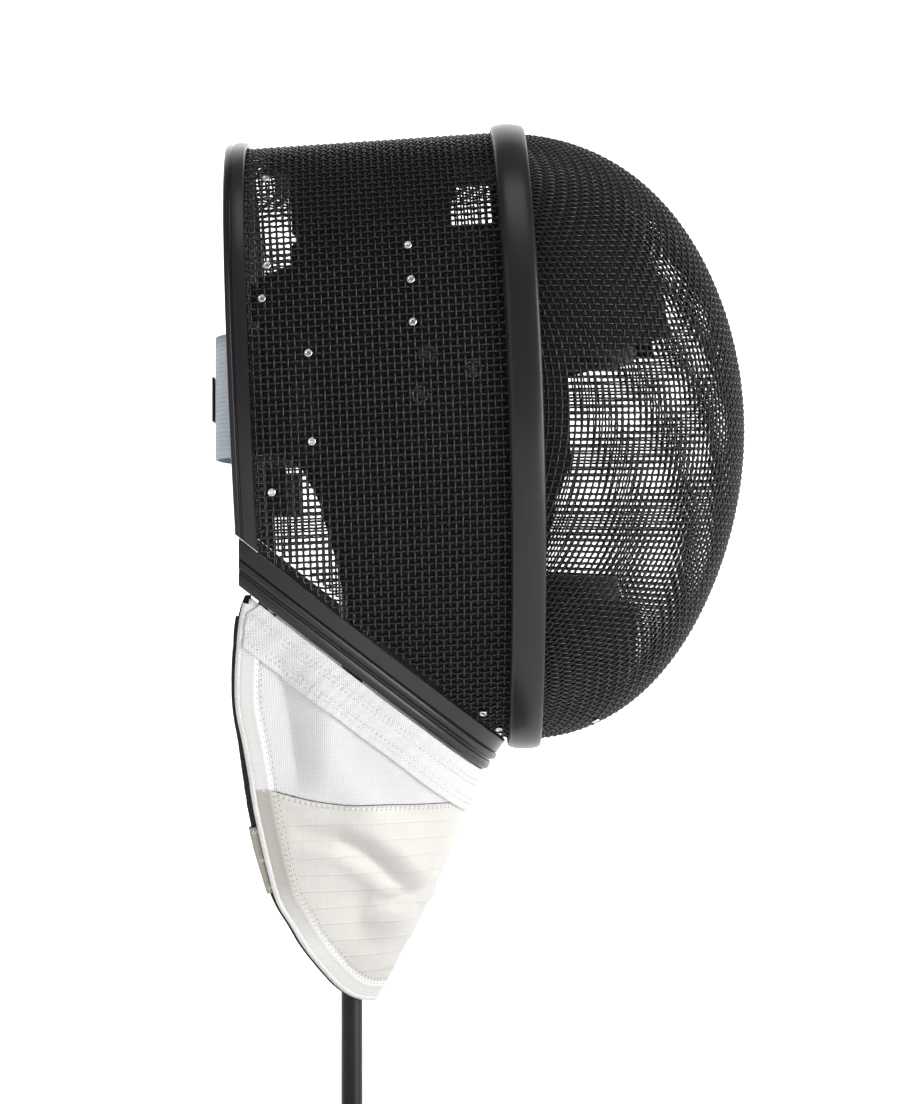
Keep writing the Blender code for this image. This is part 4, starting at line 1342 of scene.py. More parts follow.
STRAP_PALE = (0.40, 0.44, 0.50)
STRAP_SEWN_X = -0.050  # ahead of here the strap is black
elastic = Finish("strap_cloth", STRAP_PALE, 0.8, {"Sheen Weight": 0.2})
rib = elastic.waves(160.0, "Z")
where = elastic.node("ShaderNodeSeparateXYZ", {"Vector": elastic.place()}, output="X")
inside = where.maths("GREATER_THAN", STRAP_SEWN_X)
elastic.set("Base Color", elastic.blend(inside, STRAP_PALE, (0.010, 0.010, 0.011)))
elastic.bump(rib + elastic.noise(900.0) * 0.3, 0.6, 0.0003)
strap_cut = strap_rows(0.0, 0, 1, spread(-math.pi / 2, math.pi / 2, 121))
strap = mapped_cloth("back_strap_band", strap_cut, elastic, "strap_cloth", STRAP_WALL, "back_strap")

webbing = Finish("dark_webbing", (0.012, 0.012, 0.014), 0.85, {"Sheen Weight": 0.1})
ribs = webbing.waves(240.0, "DIAGONAL")
webbing.bump(ribs + webbing.noise(800.0) * 0.4, 0.6, 0.0003)
over = STRAP_WALL / 2 + GAP + PATCH_WALL / 2
edge = (1 - PATCH_HEIGHT / STRAP_WIDTH) / 2
rows = strap_rows(over, edge, 1 - edge, spread(-PATCH_TURN, PATCH_TURN, 25))
patch = mapped_cloth("strap_patch_cloth", rows, webbing, "dark_webbing", PATCH_WALL, "strap_patch")

# %% [markdown]
# ## The bib's shape
#
# The bib hangs from the jaw trim round the throat. It is one sheet between two curves, the
# trim's lower edge and the bib's own free edge, so every point is found from two shares:
# how far round from corner to corner, and how far down. Dents and creases push it in or out.

# %% The sheet between the jaw and the free edge
BIB_WALL = 0.0018
BIB_TIP_X = 0.0110
BIB_TIP_Z = 0.0915
BIB_MARGIN = 0.006
BIB_BULGE = 0.0040
NECK_X = -0.0170
JAW_TRIM_REAR = JAW_TRIM_WIDTH * math.sin(JAW_ANGLE) + 0.0010
BIB_EDGE = (
    # down, forward, outward
    (0.000, 0.000, 1.00),
    (0.049, -0.038, 0.99),
    (0.114, -0.065, 0.97),
    (0.255, -0.078, 0.90),
    (0.355, -0.022, 0.84),
    (0.446, 0.025, 0.79),
    (0.516, 0.055, 0.75),
    (0.655, 0.153, 0.66),
    (0.738, 0.229, 0.60),
    (0.800, 0.345, 0.53),
    (0.860, 0.458, 0.45),
    (0.950, 0.690, 0.29),
    (0.990, 0.860, 0.14),
    (1.000, 1.000, 0.00),
)
BIB_DENTS = (
    # across (0 rear corner, 1 middle), down, size across, size down, depth in metres
    (0.80, 0.72, 0.07, 0.13, 0.0050),
    (0.90, 0.50, 0.05, 0.10, -0.0030),
    (0.62, 0.45, 0.10, 0.10, -0.0020),
)
BIB_CREASES = (
    # half width, height, then the (x, z) points of the crease seen from the side
    (
        0.0036,
        -0.0036,
        (
            (-0.0260, 0.1740),
            (-0.0162, 0.1709),
            (-0.0052, 0.1695),
            (0.0045, 0.1640),
            (0.0141, 0.1557),
            (0.0239, 0.1433),
            (0.0280, 0.1330),
        ),
    ),
    (0.0024, -0.0030, ((0.0110, 0.1400), (0.0190, 0.1388), (0.0290, 0.1440), (0.0340, 0.1480))),
    (0.0070, 0.0012, ((0.0000, 0.1830), (0.0120, 0.1740), (0.0250, 0.1600), (0.0330, 0.1500))),
    (0.0055, 0.0020, ((0.0060, 0.1330), (0.0160, 0.1290), (0.0260, 0.1270))),
    (
        0.0070,
        -0.0030,
        ((-0.0330, 0.2600), (-0.0306, 0.2450), (-0.0275, 0.2250), (-0.0240, 0.2020), (-0.0230, 0.1900)),
    ),
    (0.0100, 0.0018, ((-0.0100, 0.2450), (-0.0090, 0.2200), (-0.0120, 0.1980), (-0.0140, 0.1880))),
    (0.0060, 0.0014, ((0.0060, 0.2120), (0.0300, 0.1960), (0.0480, 0.1880))),
)


def smooth_between(values, share):
    """A smooth curve through four values, read between the middle two."""
    before, start, end, after = values
    rise, fall = (end - before) / 2, (after - start) / 2
    cube = 2 * start - 2 * end + rise + fall
    square = -3 * start + 3 * end - 2 * rise - fall
    return ((cube * share + square) * share + rise) * share + start


BIB_TOP = [
    point + DOWN_JAW * (JAW_TRIM_WIDTH + 3 * GAP)
    for point in resample([p for p in jaw_path(241) if p.x > CORNER.x + JAW_TRIM_REAR], 121)
]
BIB_TOP_CORNER = BIB_TOP[0]


def bib_edge_point(share):
    """The free edge on the right side, from the rear corner at 0 to the tip at 1."""
    place = share * (len(BIB_EDGE) - 1)
    index = min(int(place), len(BIB_EDGE) - 2)
    rows = [BIB_EDGE[max(0, min(len(BIB_EDGE) - 1, index + step))] for step in (-1, 0, 1, 2)]
    down, ahead, outward = (smooth_between([row[k] for row in rows], place - index) for k in range(3))
    start = BIB_TOP_CORNER
    return Vector((mix(start.x, BIB_TIP_X, ahead), start.y * outward, mix(start.z, BIB_TIP_Z, down)))


RIGHT_EDGE = resample([bib_edge_point(step / 240) for step in range(241)], 61)
LEFT_EDGE = [Vector((point.x, -point.y, point.z)) for point in reversed(RIGHT_EDGE[:-1])]
BIB_FREE_EDGE = RIGHT_EDGE + LEFT_EDGE


def crease(point):
    """How far the creases lift the cloth here. Each fades to nothing at its ends."""
    lift = 0.0
    for wide, high, line in BIB_CREASES:
        nearest = None
        for index, (start, end) in enumerate(zip(line, line[1:])):
            sx, sz = end[0] - start[0], end[1] - start[1]
            share = ((point.x - start[0]) * sx + (point.z - start[1]) * sz) / (sx * sx + sz * sz)
            held = min(max(share, 0), 1)
            away = math.hypot(point.x - start[0] - sx * held, point.z - start[1] - sz * held)
            if nearest is None or away < nearest[0]:
                nearest = (away, (index + held) / (len(line) - 1))
        away, whole = nearest
        if away < wide * 4:
            side = away / wide
            fade = math.sin(math.pi * whole) ** 0.6 if 0 < whole < 1 else 0.0
            lift += high * fade * (math.exp(-(side**1.4)) - 0.35 * math.exp(-((side - 2.2) ** 2)))
    return lift


def bib_surface(across, down):
    """The bib's middle surface: across from corner to corner, down from jaw to edge."""
    place = across * (len(BIB_TOP) - 1)
    index = min(int(place), len(BIB_TOP) - 2)
    top = BIB_TOP[index].lerp(BIB_TOP[index + 1], place - index)
    edge = BIB_FREE_EDGE[index].lerp(BIB_FREE_EDGE[index + 1], place - index)
    point = top.lerp(edge, down)
    out = Vector((point.x - mix(NECK_X, 0, down), point.y, 0)).normalized()
    half = 1 - abs(2 * across - 1)
    bulge = BIB_BULGE * math.sin(math.pi * min(down, 1)) * half
    for where, depth_share, wide, high, depth in BIB_DENTS:
        reach = ((half - where) / wide) ** 2 + ((down - depth_share) / high) ** 2
        bulge -= depth * math.exp(-reach)
    bulge += crease(point)
    bulge += 0.0005 * noise.noise(point * 70) * math.sin(math.pi * min(max(down, 0), 1))
    return point + out * bulge


def bib_normal(across, down):
    step = 0.01
    down = min(max(down, step), 1 - step)
    sideways = bib_surface(across + step, down) - bib_surface(across - step, down)
    downward = bib_surface(across, down + step) - bib_surface(across, down - step)
    return downward.cross(sideways).normalized()


def bib_point(across, down, lift=0.0):
    return bib_surface(across, down) + bib_normal(across, down) * lift


def first_share(start, end, passed, steps=24):
    """The share between start and end from which passed(share) holds."""
    for _ in range(steps):
        middle = (start + end) / 2
        if passed(middle):
            end = middle
        else:
            start = middle
    return start


BINDING_WIDTH = 0.0030
TAPE_WIDTH = 0.0205
TAPE_WALL = 0.0012


def near_edge(across, room=BINDING_WIDTH / 2 + GAP):
    """The share down at which a column comes within reach of the free edge."""
    return first_share(
        0, 1, lambda s: min((bib_surface(across, s) - edge).length for edge in BIB_FREE_EDGE) < room, 14
    )


CLOTH_STOPS = [near_edge(place) for place in spread(0, 1, 121)]


def cloth_stop(across):
    """How far down the cloth reaches, as a share of the bib there: to its binding."""
    return float(np.interp(across * (len(CLOTH_STOPS) - 1), range(len(CLOTH_STOPS)), CLOTH_STOPS))


def tape_stop(across):
    """How far down the tape under the trim reaches, as a share of the bib there."""
    low = JAW_TRIM_WIDTH + GAP + TAPE_WIDTH
    return first_share(0, cloth_stop(across), lambda s: below_jaw(bib_point(across, s)) > low)


print("bib top", round(lengths(BIB_TOP)[-1], 3), "free edge", round(lengths(BIB_FREE_EDGE)[-1], 3))

# %% [markdown]
# ## Cloths of the bib
#
# Above the seam the bib is white padded cotton. Below it the fencer's bib is faced with metal
# cloth, a thin plain weave with steel thread and a stronger thread every few millimetres. Both
# are the same sheet cut at the seam, which climbs a little towards the rear edge. A map in
# metres lies on the sheet, so the weave follows the cloth as it bends.

# %% Two sheets cut at the seam
SEAM_Z = 0.1850
SEAM_RISE = 0.0105
CLOTH_WIDTH = 0.36
NECK_RADIUS = 0.078
DRAPE_SLOPE = 1.12  # cloth length for each length of height


def seam_lift(x):
    """How much higher the seam lies towards the rear edge."""
    share = min(max((0.012 - x) / 0.055, 0), 1)
    return SEAM_RISE * share * share


def bib_sheet(name, columns, rows, stop, lift=0.0, relief=None, margin=BIB_MARGIN):
    """The bib as an open sheet with its map in metres. relief adds to the lift."""
    points, places = [], spread(margin, 1 - margin, columns)
    stops = [stop(place) for place in places]
    shares = [[(place, share * end) for place, end in zip(places, stops)] for share in spread(0, 1, rows)]
    for row in shares:
        points.append([])
        for place, down in row:
            point = bib_surface(place, down)
            if relief:
                point += bib_normal(place, down) * (lift + relief(place, point))
            points[-1].append(point)
    mesh = sheet_mesh(name, points)
    layer = mesh.uv_layers.new(name="cloth")
    for loop in mesh.loops:
        point = mesh.vertices[loop.vertex_index].co
        round_neck = math.atan2(point.y, point.x - NECK_X) * NECK_RADIUS
        layer.data[loop.index].uv = (round_neck, point.z * DRAPE_SLOPE)
    if mesh.polygons[len(mesh.polygons) // 2].normal.x < 0:
        mesh.flip_normals()
    return mesh


def cut_at_seam(mesh, upper):
    """Keeps the part above or below the seam."""
    with opened(mesh) as cage:
        for vert in cage.verts:
            vert.co.z -= seam_lift(vert.co.x)
        everything = cage.verts[:] + cage.edges[:] + cage.faces[:]
        plane = {"plane_co": (0, 0, SEAM_Z), "plane_no": (0, 0, -1 if upper else 1)}
        bmesh.ops.bisect_plane(cage, geom=everything, clear_outer=True, **plane)
        for vert in cage.verts:
            vert.co.z += seam_lift(vert.co.x)
    return mesh


COTTON_NAP = {"Sheen Weight": 0.25, "Sheen Roughness": 0.5}
white_cloth = Finish("white_cloth", (0.80, 0.80, 0.79), 0.85, COTTON_NAP)
warp, weft = (white_cloth.waves(310.0, direction, 0.4, "UV") for direction in "XY")
weave = warp * weft
white_cloth.set("Base Color", white_cloth.blend(weave, (0.64, 0.65, 0.66), (0.84, 0.84, 0.83)))
white_cloth.bump(weave + white_cloth.noise(60.0) * 1.2, 0.5, 0.0005)

STRONG_PITCH = 0.0088
STRIPES_PER_METRE = 0.31416  # the scale at which a stripe is a metre wide
METAL = {"Metallic": 0.25, "Sheen Weight": 0.2}
metal_cloth = Finish("metal_cloth", (0.60, 0.56, 0.50), 0.55, METAL)
warp, weft = (metal_cloth.waves(520.0, direction, source="UV") for direction in "XY")
strong, upright = (
    metal_cloth.waves(STRIPES_PER_METRE / STRONG_PITCH, direction, 0.25, "UV", 3.0) for direction in "YX"
)
rib = strong**40.0 + upright**40.0 * 0.35
fine = warp * weft
tarnish = metal_cloth.noise(24.0, 5.0)
cloth_tone = metal_cloth.blend(tarnish, (0.61, 0.59, 0.55), (0.74, 0.725, 0.69))
broken = rib * (tarnish - 0.30) * 0.55
cloth_tone = metal_cloth.blend(broken, cloth_tone, (0.40, 0.375, 0.34))
metal_cloth.set("Base Color", cloth_tone)
metal_cloth.set("Roughness", fine * 0.2 + 0.42)
metal_cloth.bump(fine * 0.7 + rib * 0.8 + metal_cloth.noise(45.0) * 1.5, 0.5, 0.0004)


def flat_area(mesh):
    return sum(face.area for face in mesh.polygons)


cloths = {}
for node, upper, finish, slot in (
    ("bib_upper_cloth", True, white_cloth, "white_cloth"),
    ("bib_lower_cloth", False, metal_cloth, "metal_cloth"),
):
    mesh = cut_at_seam(bib_sheet(node + "_sheet", 181, 68, cloth_stop), upper)
    size = flat_area(mesh)
    piece = settle(node + "_sheet", mesh, finish, slot, node)
    thick(piece, BIB_WALL)
    cloths[node] = (piece, size)
    print(node, len(mesh.polygons), "faces", round(size * 1e4, 1), "cm2")

# %% [markdown]
# ## Hem and binding
#
# The free edge is bound with a thin white tape and turned over once, which makes a flat band
# with a ridge along its inner side. Both are carried along the edge as a small section. Each
# point of the section is dropped onto the bib's surface first, so the hem bends with it.

# %% A way to lay things on the bib
skin_mesh = bib_sheet("skin", 241, 90, lambda across: 1.0)
skin = BVHTree.FromPolygons(
    [vert.co.copy() for vert in skin_mesh.vertices], [tuple(face.vertices) for face in skin_mesh.polygons]
)


def on_bib(point, lift=0.0):
    """The nearest place on the bib, lifted off it, and the way it faces."""
    place, facing, _, _ = skin.find_nearest(point)
    return place + facing * lift, facing


def bib_edge(first, last, count):
    """Points of the free edge, each with the directions past the edge and out of the bib."""
    edge = []
    for across in spread(first, last, count):
        point = bib_surface(across, 1.0)
        along = bib_surface(min(across + 0.01, 0.999), 1.0) - bib_surface(max(across - 0.01, 0.001), 1.0)
        along.normalize()
        out = bib_normal(across, 1.0)
        out = (out - along * out.dot(along)).normalized()
        past = along.cross(out)
        if past.dot(point - bib_surface(across, 0.9)) < 0:
            past.negate()
        edge.append((point, past, out))
    return edge


def tube_mesh(name, rings, crease=40):
    """A closed mesh through rings of points, with its ends filled."""
    mesh = sheet_mesh(name, rings, closed=True)
    with opened(mesh, crease) as cage:
        fill(cage, [edge for edge in cage.edges if edge.is_boundary])
    return mesh


# %% The bound edge and the hem
HALF = BIB_WALL / 2
HEM = (
    # in from the edge, height over the cloth
    (0.0010, 0.0002),
    (0.0018, 0.0005),
    (0.0052, 0.0005),
    (0.0058, 0.0008),
    (0.0068, 0.0012),
    (0.0078, 0.0011),
    (0.0086, 0.0006),
    (0.0091, 0.0001),
)
HEM_PRESS = ((TAPE_WIDTH, 0.25), (TAPE_WIDTH + 0.003, 1.0))  # flatter where the tape covers it
edge_frames = bib_edge(0.008, 0.992, 381)
BOUND_OUT, BOUND_UP = 0.0015, 0.0013  # half the binding's width and half its height
circle = [2 * math.pi * step / 10 for step in range(10)]
rings = [
    [point + past * BOUND_OUT * math.cos(t) + out * BOUND_UP * math.sin(t) for t in circle]
    for point, past, out in edge_frames
]
binding = Finish("binding_tape", (0.82, 0.82, 0.80), 0.8, {"Sheen Weight": 0.2})
cords = binding.waves(330.0, "DIAGONAL", 1.0)
binding.set("Base Color", binding.blend(binding.noise(120.0), (0.70, 0.69, 0.66), (0.86, 0.86, 0.84)))
binding.bump(cords + binding.noise(300.0) * 0.5, 0.5, 0.0003)
settle("bound_edge", tube_mesh("bound_edge", rings), binding, "binding_tape", "bib_binding")

hem_cloth = Finish("hem_cloth", (0.8, 0.8, 0.78), 0.8, {"Sheen Weight": 0.2})
height = hem_cloth.node("ShaderNodeSeparateXYZ", {"Vector": hem_cloth.place()}, output="Z")
HEM_RAMP = 5.0  # the ramp spans the first fifth of a metre
HEM_TONES = (
    # height, colour: white at the tip, silver up to the seam, white above it
    (0.0, (0.80, 0.79, 0.76, 1)),
    (0.118, (0.80, 0.79, 0.76, 1)),
    (0.150, (0.52, 0.50, 0.465, 1)),
    (0.1925, (0.50, 0.48, 0.445, 1)),
    (0.1935, (0.82, 0.82, 0.81, 1)),
    (0.200, (0.82, 0.82, 0.81, 1)),
)
stops = [(HEM_RAMP * z, colour) for z, colour in HEM_TONES]
tone = hem_cloth.node("ShaderNodeValToRGB", {"Fac": height * HEM_RAMP}, stops=stops)
hem_cloth.set("Base Color", tone)
nap = hem_cloth.waves(310.0, "Z", 1.0)
hem_cloth.bump(nap + hem_cloth.noise(200.0), 0.4, 0.0003)
rings = []
for point, past, out in edge_frames:
    under_trim = below_jaw(point) - JAW_TRIM_WIDTH
    pressed = column(HEM_PRESS, under_trim)
    ring = [on_bib(point - past * inward, HALF + high * pressed)[0] for inward, high in HEM]
    ring += [on_bib(point - past * inward, -HALF - high * 0.5)[0] for inward, high in reversed(HEM)]
    rings.append(ring)
hem = settle("turned_hem", tube_mesh("turned_hem", rings, 60), hem_cloth, "binding_tape")
print("hem", len(hem.data.polygons), "faces")

# %% [markdown]
# ## The tape under the jaw
#
# A doubled tape sews the bib to the trim. Two double rows of stitches pull it down, so it
# puckers between the needle holes. The pucker is worked into the height of the sheet: a
# valley along each row, with a small wave at the stitches' pitch.

# %% The doubled tape
STITCH_PITCH = 0.0026
TAPE_MARGIN = 0.020
TAPE_ROWS = (0.0062, 0.0086, 0.0150, 0.0174)


def tape_relief(across, point):
    """How far the tape rises here between its rows of stitches."""
    away = below_jaw(point) - JAW_TRIM_WIDTH
    along = across * CLOTH_WIDTH
    height = 0.0
    for row in TAPE_ROWS:
        valley = math.exp(-(((away - row) / 0.0009) ** 2))
        height -= 0.00042 * valley * (0.6 + 0.4 * math.cos(2 * math.pi * along / STITCH_PITCH))
    height += 0.00012 * math.sin(2 * math.pi * along / 0.0071 + 5 * math.sin(9 * along / 0.1))
    return height


lift = HALF + TAPE_WALL
tape_mesh = bib_sheet("jaw_tape", 481, 30, tape_stop, lift, tape_relief, TAPE_MARGIN)
tape = settle("jaw_tape", tape_mesh, white_cloth, "white_cloth", "bib_top_tape")
thick(tape, TAPE_WALL, -1.0)
print("tape", len(tape.data.polygons), "faces", round(flat_area(tape.data) * 1e4, 1), "cm2")

# %% [markdown]
# ## Stitches
#
# Each stitch is a short bead of thread. One tree walks along a line, drops a bead at every
# pitch, turns it along the line and flat to the cloth, and swings every other bead the other
# way where a zigzag is wanted.

# %% The tree that sews along lines
def stitch_tree():
    tree = new_tree(
        "stitches",
        {
            "Pitch": ("Float", 0.0026),
            "Length": ("Float", 0.0017),
            "Thread": ("Float", 0.0005),
            "Swing": ("Float", 0.0),
            "Yarn": ("Material", None),
        },
    )
    given = wire(tree, "NodeGroupInput").outputs
    facing = wire(tree, "GeometryNodeInputNamedAttribute", {"Name": "facing"}, data_type="FLOAT_VECTOR")
    curve = wire(tree, "GeometryNodeMeshToCurve", {"Mesh": given["Geometry"]})
    sockets = {"Curve": curve.outputs[0], "Length": given["Pitch"]}
    steps = wire(tree, "GeometryNodeResampleCurve", sockets, mode="LENGTH")
    along = wire(tree, "GeometryNodeInputTangent")
    sockets = {"Primary Axis": facing.outputs[0], "Secondary Axis": along.outputs[0]}
    lie = wire(tree, "FunctionNodeAxesToRotation", sockets, primary_axis="Z", secondary_axis="X")
    count = wire(tree, "GeometryNodeInputIndex")
    parity = wire(tree, "ShaderNodeMath", {0: count.outputs[0], 1: 2.0}, operation="MODULO")
    side = wire(tree, "ShaderNodeMath", {0: parity.outputs[0], 1: 2.0, 2: -1.0}, operation="MULTIPLY_ADD")
    angle = wire(tree, "ShaderNodeMath", {0: side.outputs[0], 1: given["Swing"]}, operation="MULTIPLY")
    swing = wire(tree, "FunctionNodeAxisAngleToRotation", {"Axis": (0, 0, 1), "Angle": angle.outputs[0]})
    sockets = {"Rotation": lie.outputs[0], "Rotate By": swing.outputs[0]}
    turned = wire(tree, "FunctionNodeRotateRotation", sockets, rotation_space="LOCAL")
    ball = wire(tree, "GeometryNodeMeshUVSphere", {"Segments": 6, "Rings": 4, "Radius": 0.5})
    sockets = {"X": given["Length"], "Y": given["Thread"], "Z": given["Thread"]}
    size = wire(tree, "ShaderNodeCombineXYZ", sockets)
    sockets = {"Geometry": ball.outputs[0], "Scale": size.outputs[0]}
    bead = wire(tree, "GeometryNodeTransform", sockets)
    sockets = {"Points": steps.outputs[0], "Instance": bead.outputs[0], "Rotation": turned.outputs[0]}
    sewn_on = wire(tree, "GeometryNodeInstanceOnPoints", sockets)
    return deliver(tree, sewn_on, given["Yarn"])


STITCHES = stitch_tree()


def sewn(name, sewing, finish, slot, **sizes):
    """Stitches along lines of (point, facing), as one piece."""
    points, facing, edges = [], [], []
    for line in sewing:
        start = len(points)
        points += [tuple(point) for point, direction in line]
        for point, direction in line:
            facing.extend(direction)
        edges += [(start + step, start + step + 1) for step in range(len(line) - 1)]
    values = {"Yarn": finish.material, **sizes}
    return grown(name, points, edges, {"facing": facing}, STITCHES, values, slot, [])


# %% Rows on the tape, the hem and the seam
thread = Finish("sewing_thread", (0.80, 0.80, 0.78), 0.6, {"Sheen Weight": 0.2})
thread.set("Base Color", thread.blend(thread.noise(500.0), (0.62, 0.61, 0.58), (0.88, 0.88, 0.86)))
thread.bump(thread.noise(900.0), 0.3, 0.0002)


def row_under_trim(away):
    """A line over the tape at a distance under the jaw trim."""
    line = []
    for across in spread(TAPE_MARGIN, 1 - TAPE_MARGIN, 181):
        if below_jaw(bib_point(across, cloth_stop(across))) < JAW_TRIM_WIDTH + away:
            continue
        down = first_share(0, 1, lambda s: below_jaw(bib_surface(across, s)) > JAW_TRIM_WIDTH + away, 16)
        line.append((bib_point(across, down, HALF + TAPE_WALL - 0.0001), bib_normal(across, down)))
    return line


def row_along_edge(inward, lift, first=0.012, last=0.988, count=381):
    line = [on_bib(point - past * inward, lift) for point, past, out in bib_edge(first, last, count)]
    return [(point, facing) for point, facing in line if below_jaw(point) > JAW_TRIM_WIDTH + TAPE_WIDTH]


def seam_row(drop, lift):
    """A line along the seam, a little below or above it."""
    line = []
    for across in spread(0.05, 0.95, 181):
        stop = cloth_stop(across)

        def low(share):
            point = bib_surface(across, share)
            return point.z - seam_lift(point.x) < SEAM_Z - drop

        if low(stop):
            down = first_share(0, stop, low, 16)
            line.append((bib_point(across, down, lift), bib_normal(across, down)))
    return line


tape_rows = [row_under_trim(away) for away in TAPE_ROWS]
zigzag = row_along_edge(0.0094, HALF + 0.0001)
seam = seam_row(0.0013, HALF + 0.0002)
SEWING = (
    # name, lines, slot, pitch, length, thread, swing
    ("tape_stitches", tape_rows, "white_cloth", STITCH_PITCH, 0.0016, 0.00048, 0.0),
    ("hem_zigzag", [zigzag], "binding_tape", STITCH_PITCH / 2, 0.0021, 0.00056, 0.80),
    ("seam_stitches", [seam], "white_cloth", STITCH_PITCH, 0.0019, 0.00075, 0.0),
)
for name, sewing, slot, pitch, length, wide, swing in SEWING:
    sewn(name, sewing, thread, slot, Pitch=pitch, Length=length, Thread=wide, Swing=swing)

# %% [markdown]
# Where the needle went in, a small dark hole shows beside the thread. Each is drawn as a small dark bead
# of painted shade, the shadow inside the hole.

# %% Needle holes as dots of painted shade
# Painted shade: this dark colour stands for the shadow inside each needle hole.
shade = Finish("hole_shade_dot", (0.13, 0.125, 0.12), 0.95)
shade.set("Base Color", shade.blend(shade.noise(300.0), (0.06, 0.058, 0.055), (0.24, 0.23, 0.215)))
hole_shade_rows = [row_along_edge(0.0104, HALF + 0.0001), row_along_edge(0.0083, HALF + 0.0010)]
hole_shade_rows += [seam_row(0.0023, HALF)] + [row_under_trim(away + 0.0001) for away in TAPE_ROWS]
HOLE_SHADE = {"Pitch": STITCH_PITCH, "Length": 0.0006, "Thread": 0.00045}
sewn("hole_shade_dots", hole_shade_rows, shade, "binding_tape", **HOLE_SHADE)

# %% [markdown]
# The seam itself shows as a thin dark line between the two cloths: the shadow where the upper cloth laps
# over the lower. A fine cord laid in the gap stands for the turned-in cloth and its shadow; its dark
# colour is painted shadow.

# %% The seam's dark line of painted shadow
CORD_RADIUS = 0.0003
# Painted shadow: the cord's dark colour is the shade in the lapped seam, not the cloth's own colour.
seam_shadow = Finish("seam_fold_shadow", (0.10, 0.095, 0.09), 0.9)
seam_shadow.set("Base Color", seam_shadow.blend(seam_shadow.noise(160.0), (0.05, 0.048, 0.045), (0.20, 0.19, 0.175)))
seam_shadow.bump(seam_shadow.noise(700.0), 0.3, 0.0002)
line = seam_row(0.0, HALF - 0.0001)
rings = []
for index, (point, facing) in enumerate(line):
    along = (line[min(index + 1, len(line) - 1)][0] - line[max(index - 1, 0)][0]).normalized()
    side = along.cross(facing)
    turns = [side * math.cos(t) + facing * math.sin(t) for t in circle]
    rings.append([point + turn * CORD_RADIUS for turn in turns])
settle("seam_shadow_cord", tube_mesh("seam_shadow_cord", rings), seam_shadow, "metal_cloth")

# %% [markdown]
# ## Edging, keepers and corner tabs
#
# A black elastic edging runs behind the free edge. On each side a short ribbed elastic is
# wrapped round it and sewn down with three bars, and at each rear corner a tab ties it to
# the trim.

# %% The edging behind the binding
EDGING_WIDTH = 0.0110
EDGING_WALL = 0.0012
EDGING_REACH = (
    # height, how far it shows
    (0.100, 0.0007),
    (0.140, 0.0010),
    (0.165, 0.0024),
    (0.200, 0.0026),
    (0.230, 0.0016),
)
KEEPER_WALL = 0.0010
KEEPER_STEPS = 60
KEEPER_START = 0.235
KEEPER_END = 0.305
UNDER = -(BINDING_WIDTH + EDGING_WALL) / 2 - GAP


def edging_reach(z):
    """How far the edging shows past the binding at a height."""
    return column(EDGING_REACH, z)


def edging_ring(point, past, out):
    outer = BINDING_WIDTH / 2 + edging_reach(point.z)
    half = EDGING_WALL / 2
    section = [(outer - EDGING_WIDTH, half), (outer - 0.0004, half), (outer, half * 0.4)]
    section += [(reach, -depth) for reach, depth in reversed(section)]
    return [point + past * reach + out * (UNDER + depth) for reach, depth in section]


rings = [edging_ring(*frame_) for frame_ in bib_edge(0.022, 0.978, 321)]
settle("edging_band", tube_mesh("edging_band", rings, 60), webbing, "dark_webbing", "bib_edging")

ribbed = Finish("elastic", (0.66, 0.61, 0.54), 0.85, {"Sheen Weight": 0.2})
ribs = ribbed.waves(420.0, "Y", source="UV")
ribbed.set("Base Color", ribbed.blend(ribs, (0.40, 0.36, 0.31), (0.62, 0.57, 0.50)))
ribbed.bump(ribs, 0.7, 0.0004)
BAR_SHARES = (0.06, 0.50, 0.92)
BAR_SIZES = {"Pitch": 0.0006, "Length": 0.0024, "Thread": 0.00042, "Swing": 1.15}
bars = []
for side, sign in SIDES:
    first, last = (KEEPER_START, KEEPER_END) if sign < 0 else (1 - KEEPER_START, 1 - KEEPER_END)
    rows = []
    for point, past, out in bib_edge(first, last, KEEPER_STEPS + 1):
        outer = BINDING_WIDTH / 2 + edging_reach(point.z) + GAP + KEEPER_WALL / 2
        face = EDGING_WALL / 2 + KEEPER_WALL / 2 + 0.0001
        wrap = [(BINDING_WIDTH / 2 + 0.0002, face), (outer - 0.0008, face)]
        wrap += [(outer - 0.0001, face * 0.6), (outer, 0)]
        wrap += [(reach, -depth) for reach, depth in reversed(wrap[:-1])]
        wrap += [(outer - EDGING_WIDTH, -face)]
        rows.append([point + past * reach + out * (UNDER + depth) for reach, depth in wrap])
    mapped_cloth("keeper_" + side, rows, ribbed, "elastic", KEEPER_WALL, "elastic_keeper_" + side)
    for share in BAR_SHARES:
        row = rows[round(share * KEEPER_STEPS)]
        near = rows[min(round(share * KEEPER_STEPS) + 2, KEEPER_STEPS)]
        ahead = (near[1] - row[1]).normalized()
        facing = ahead.cross((row[1] - row[0]).normalized())
        if facing.dot(bib_normal(first, 1.0)) < 0:
            facing.negate()
        lifted = [p + facing * (KEEPER_WALL / 2 + 0.0001) for p in row[:2]]
        steps = [lifted[0].lerp(lifted[1], k / 8) for k in range(9)]
        bars.append([(p, facing) for p in steps])
sewn("keeper_bars", bars, thread, "elastic", **BAR_SIZES)

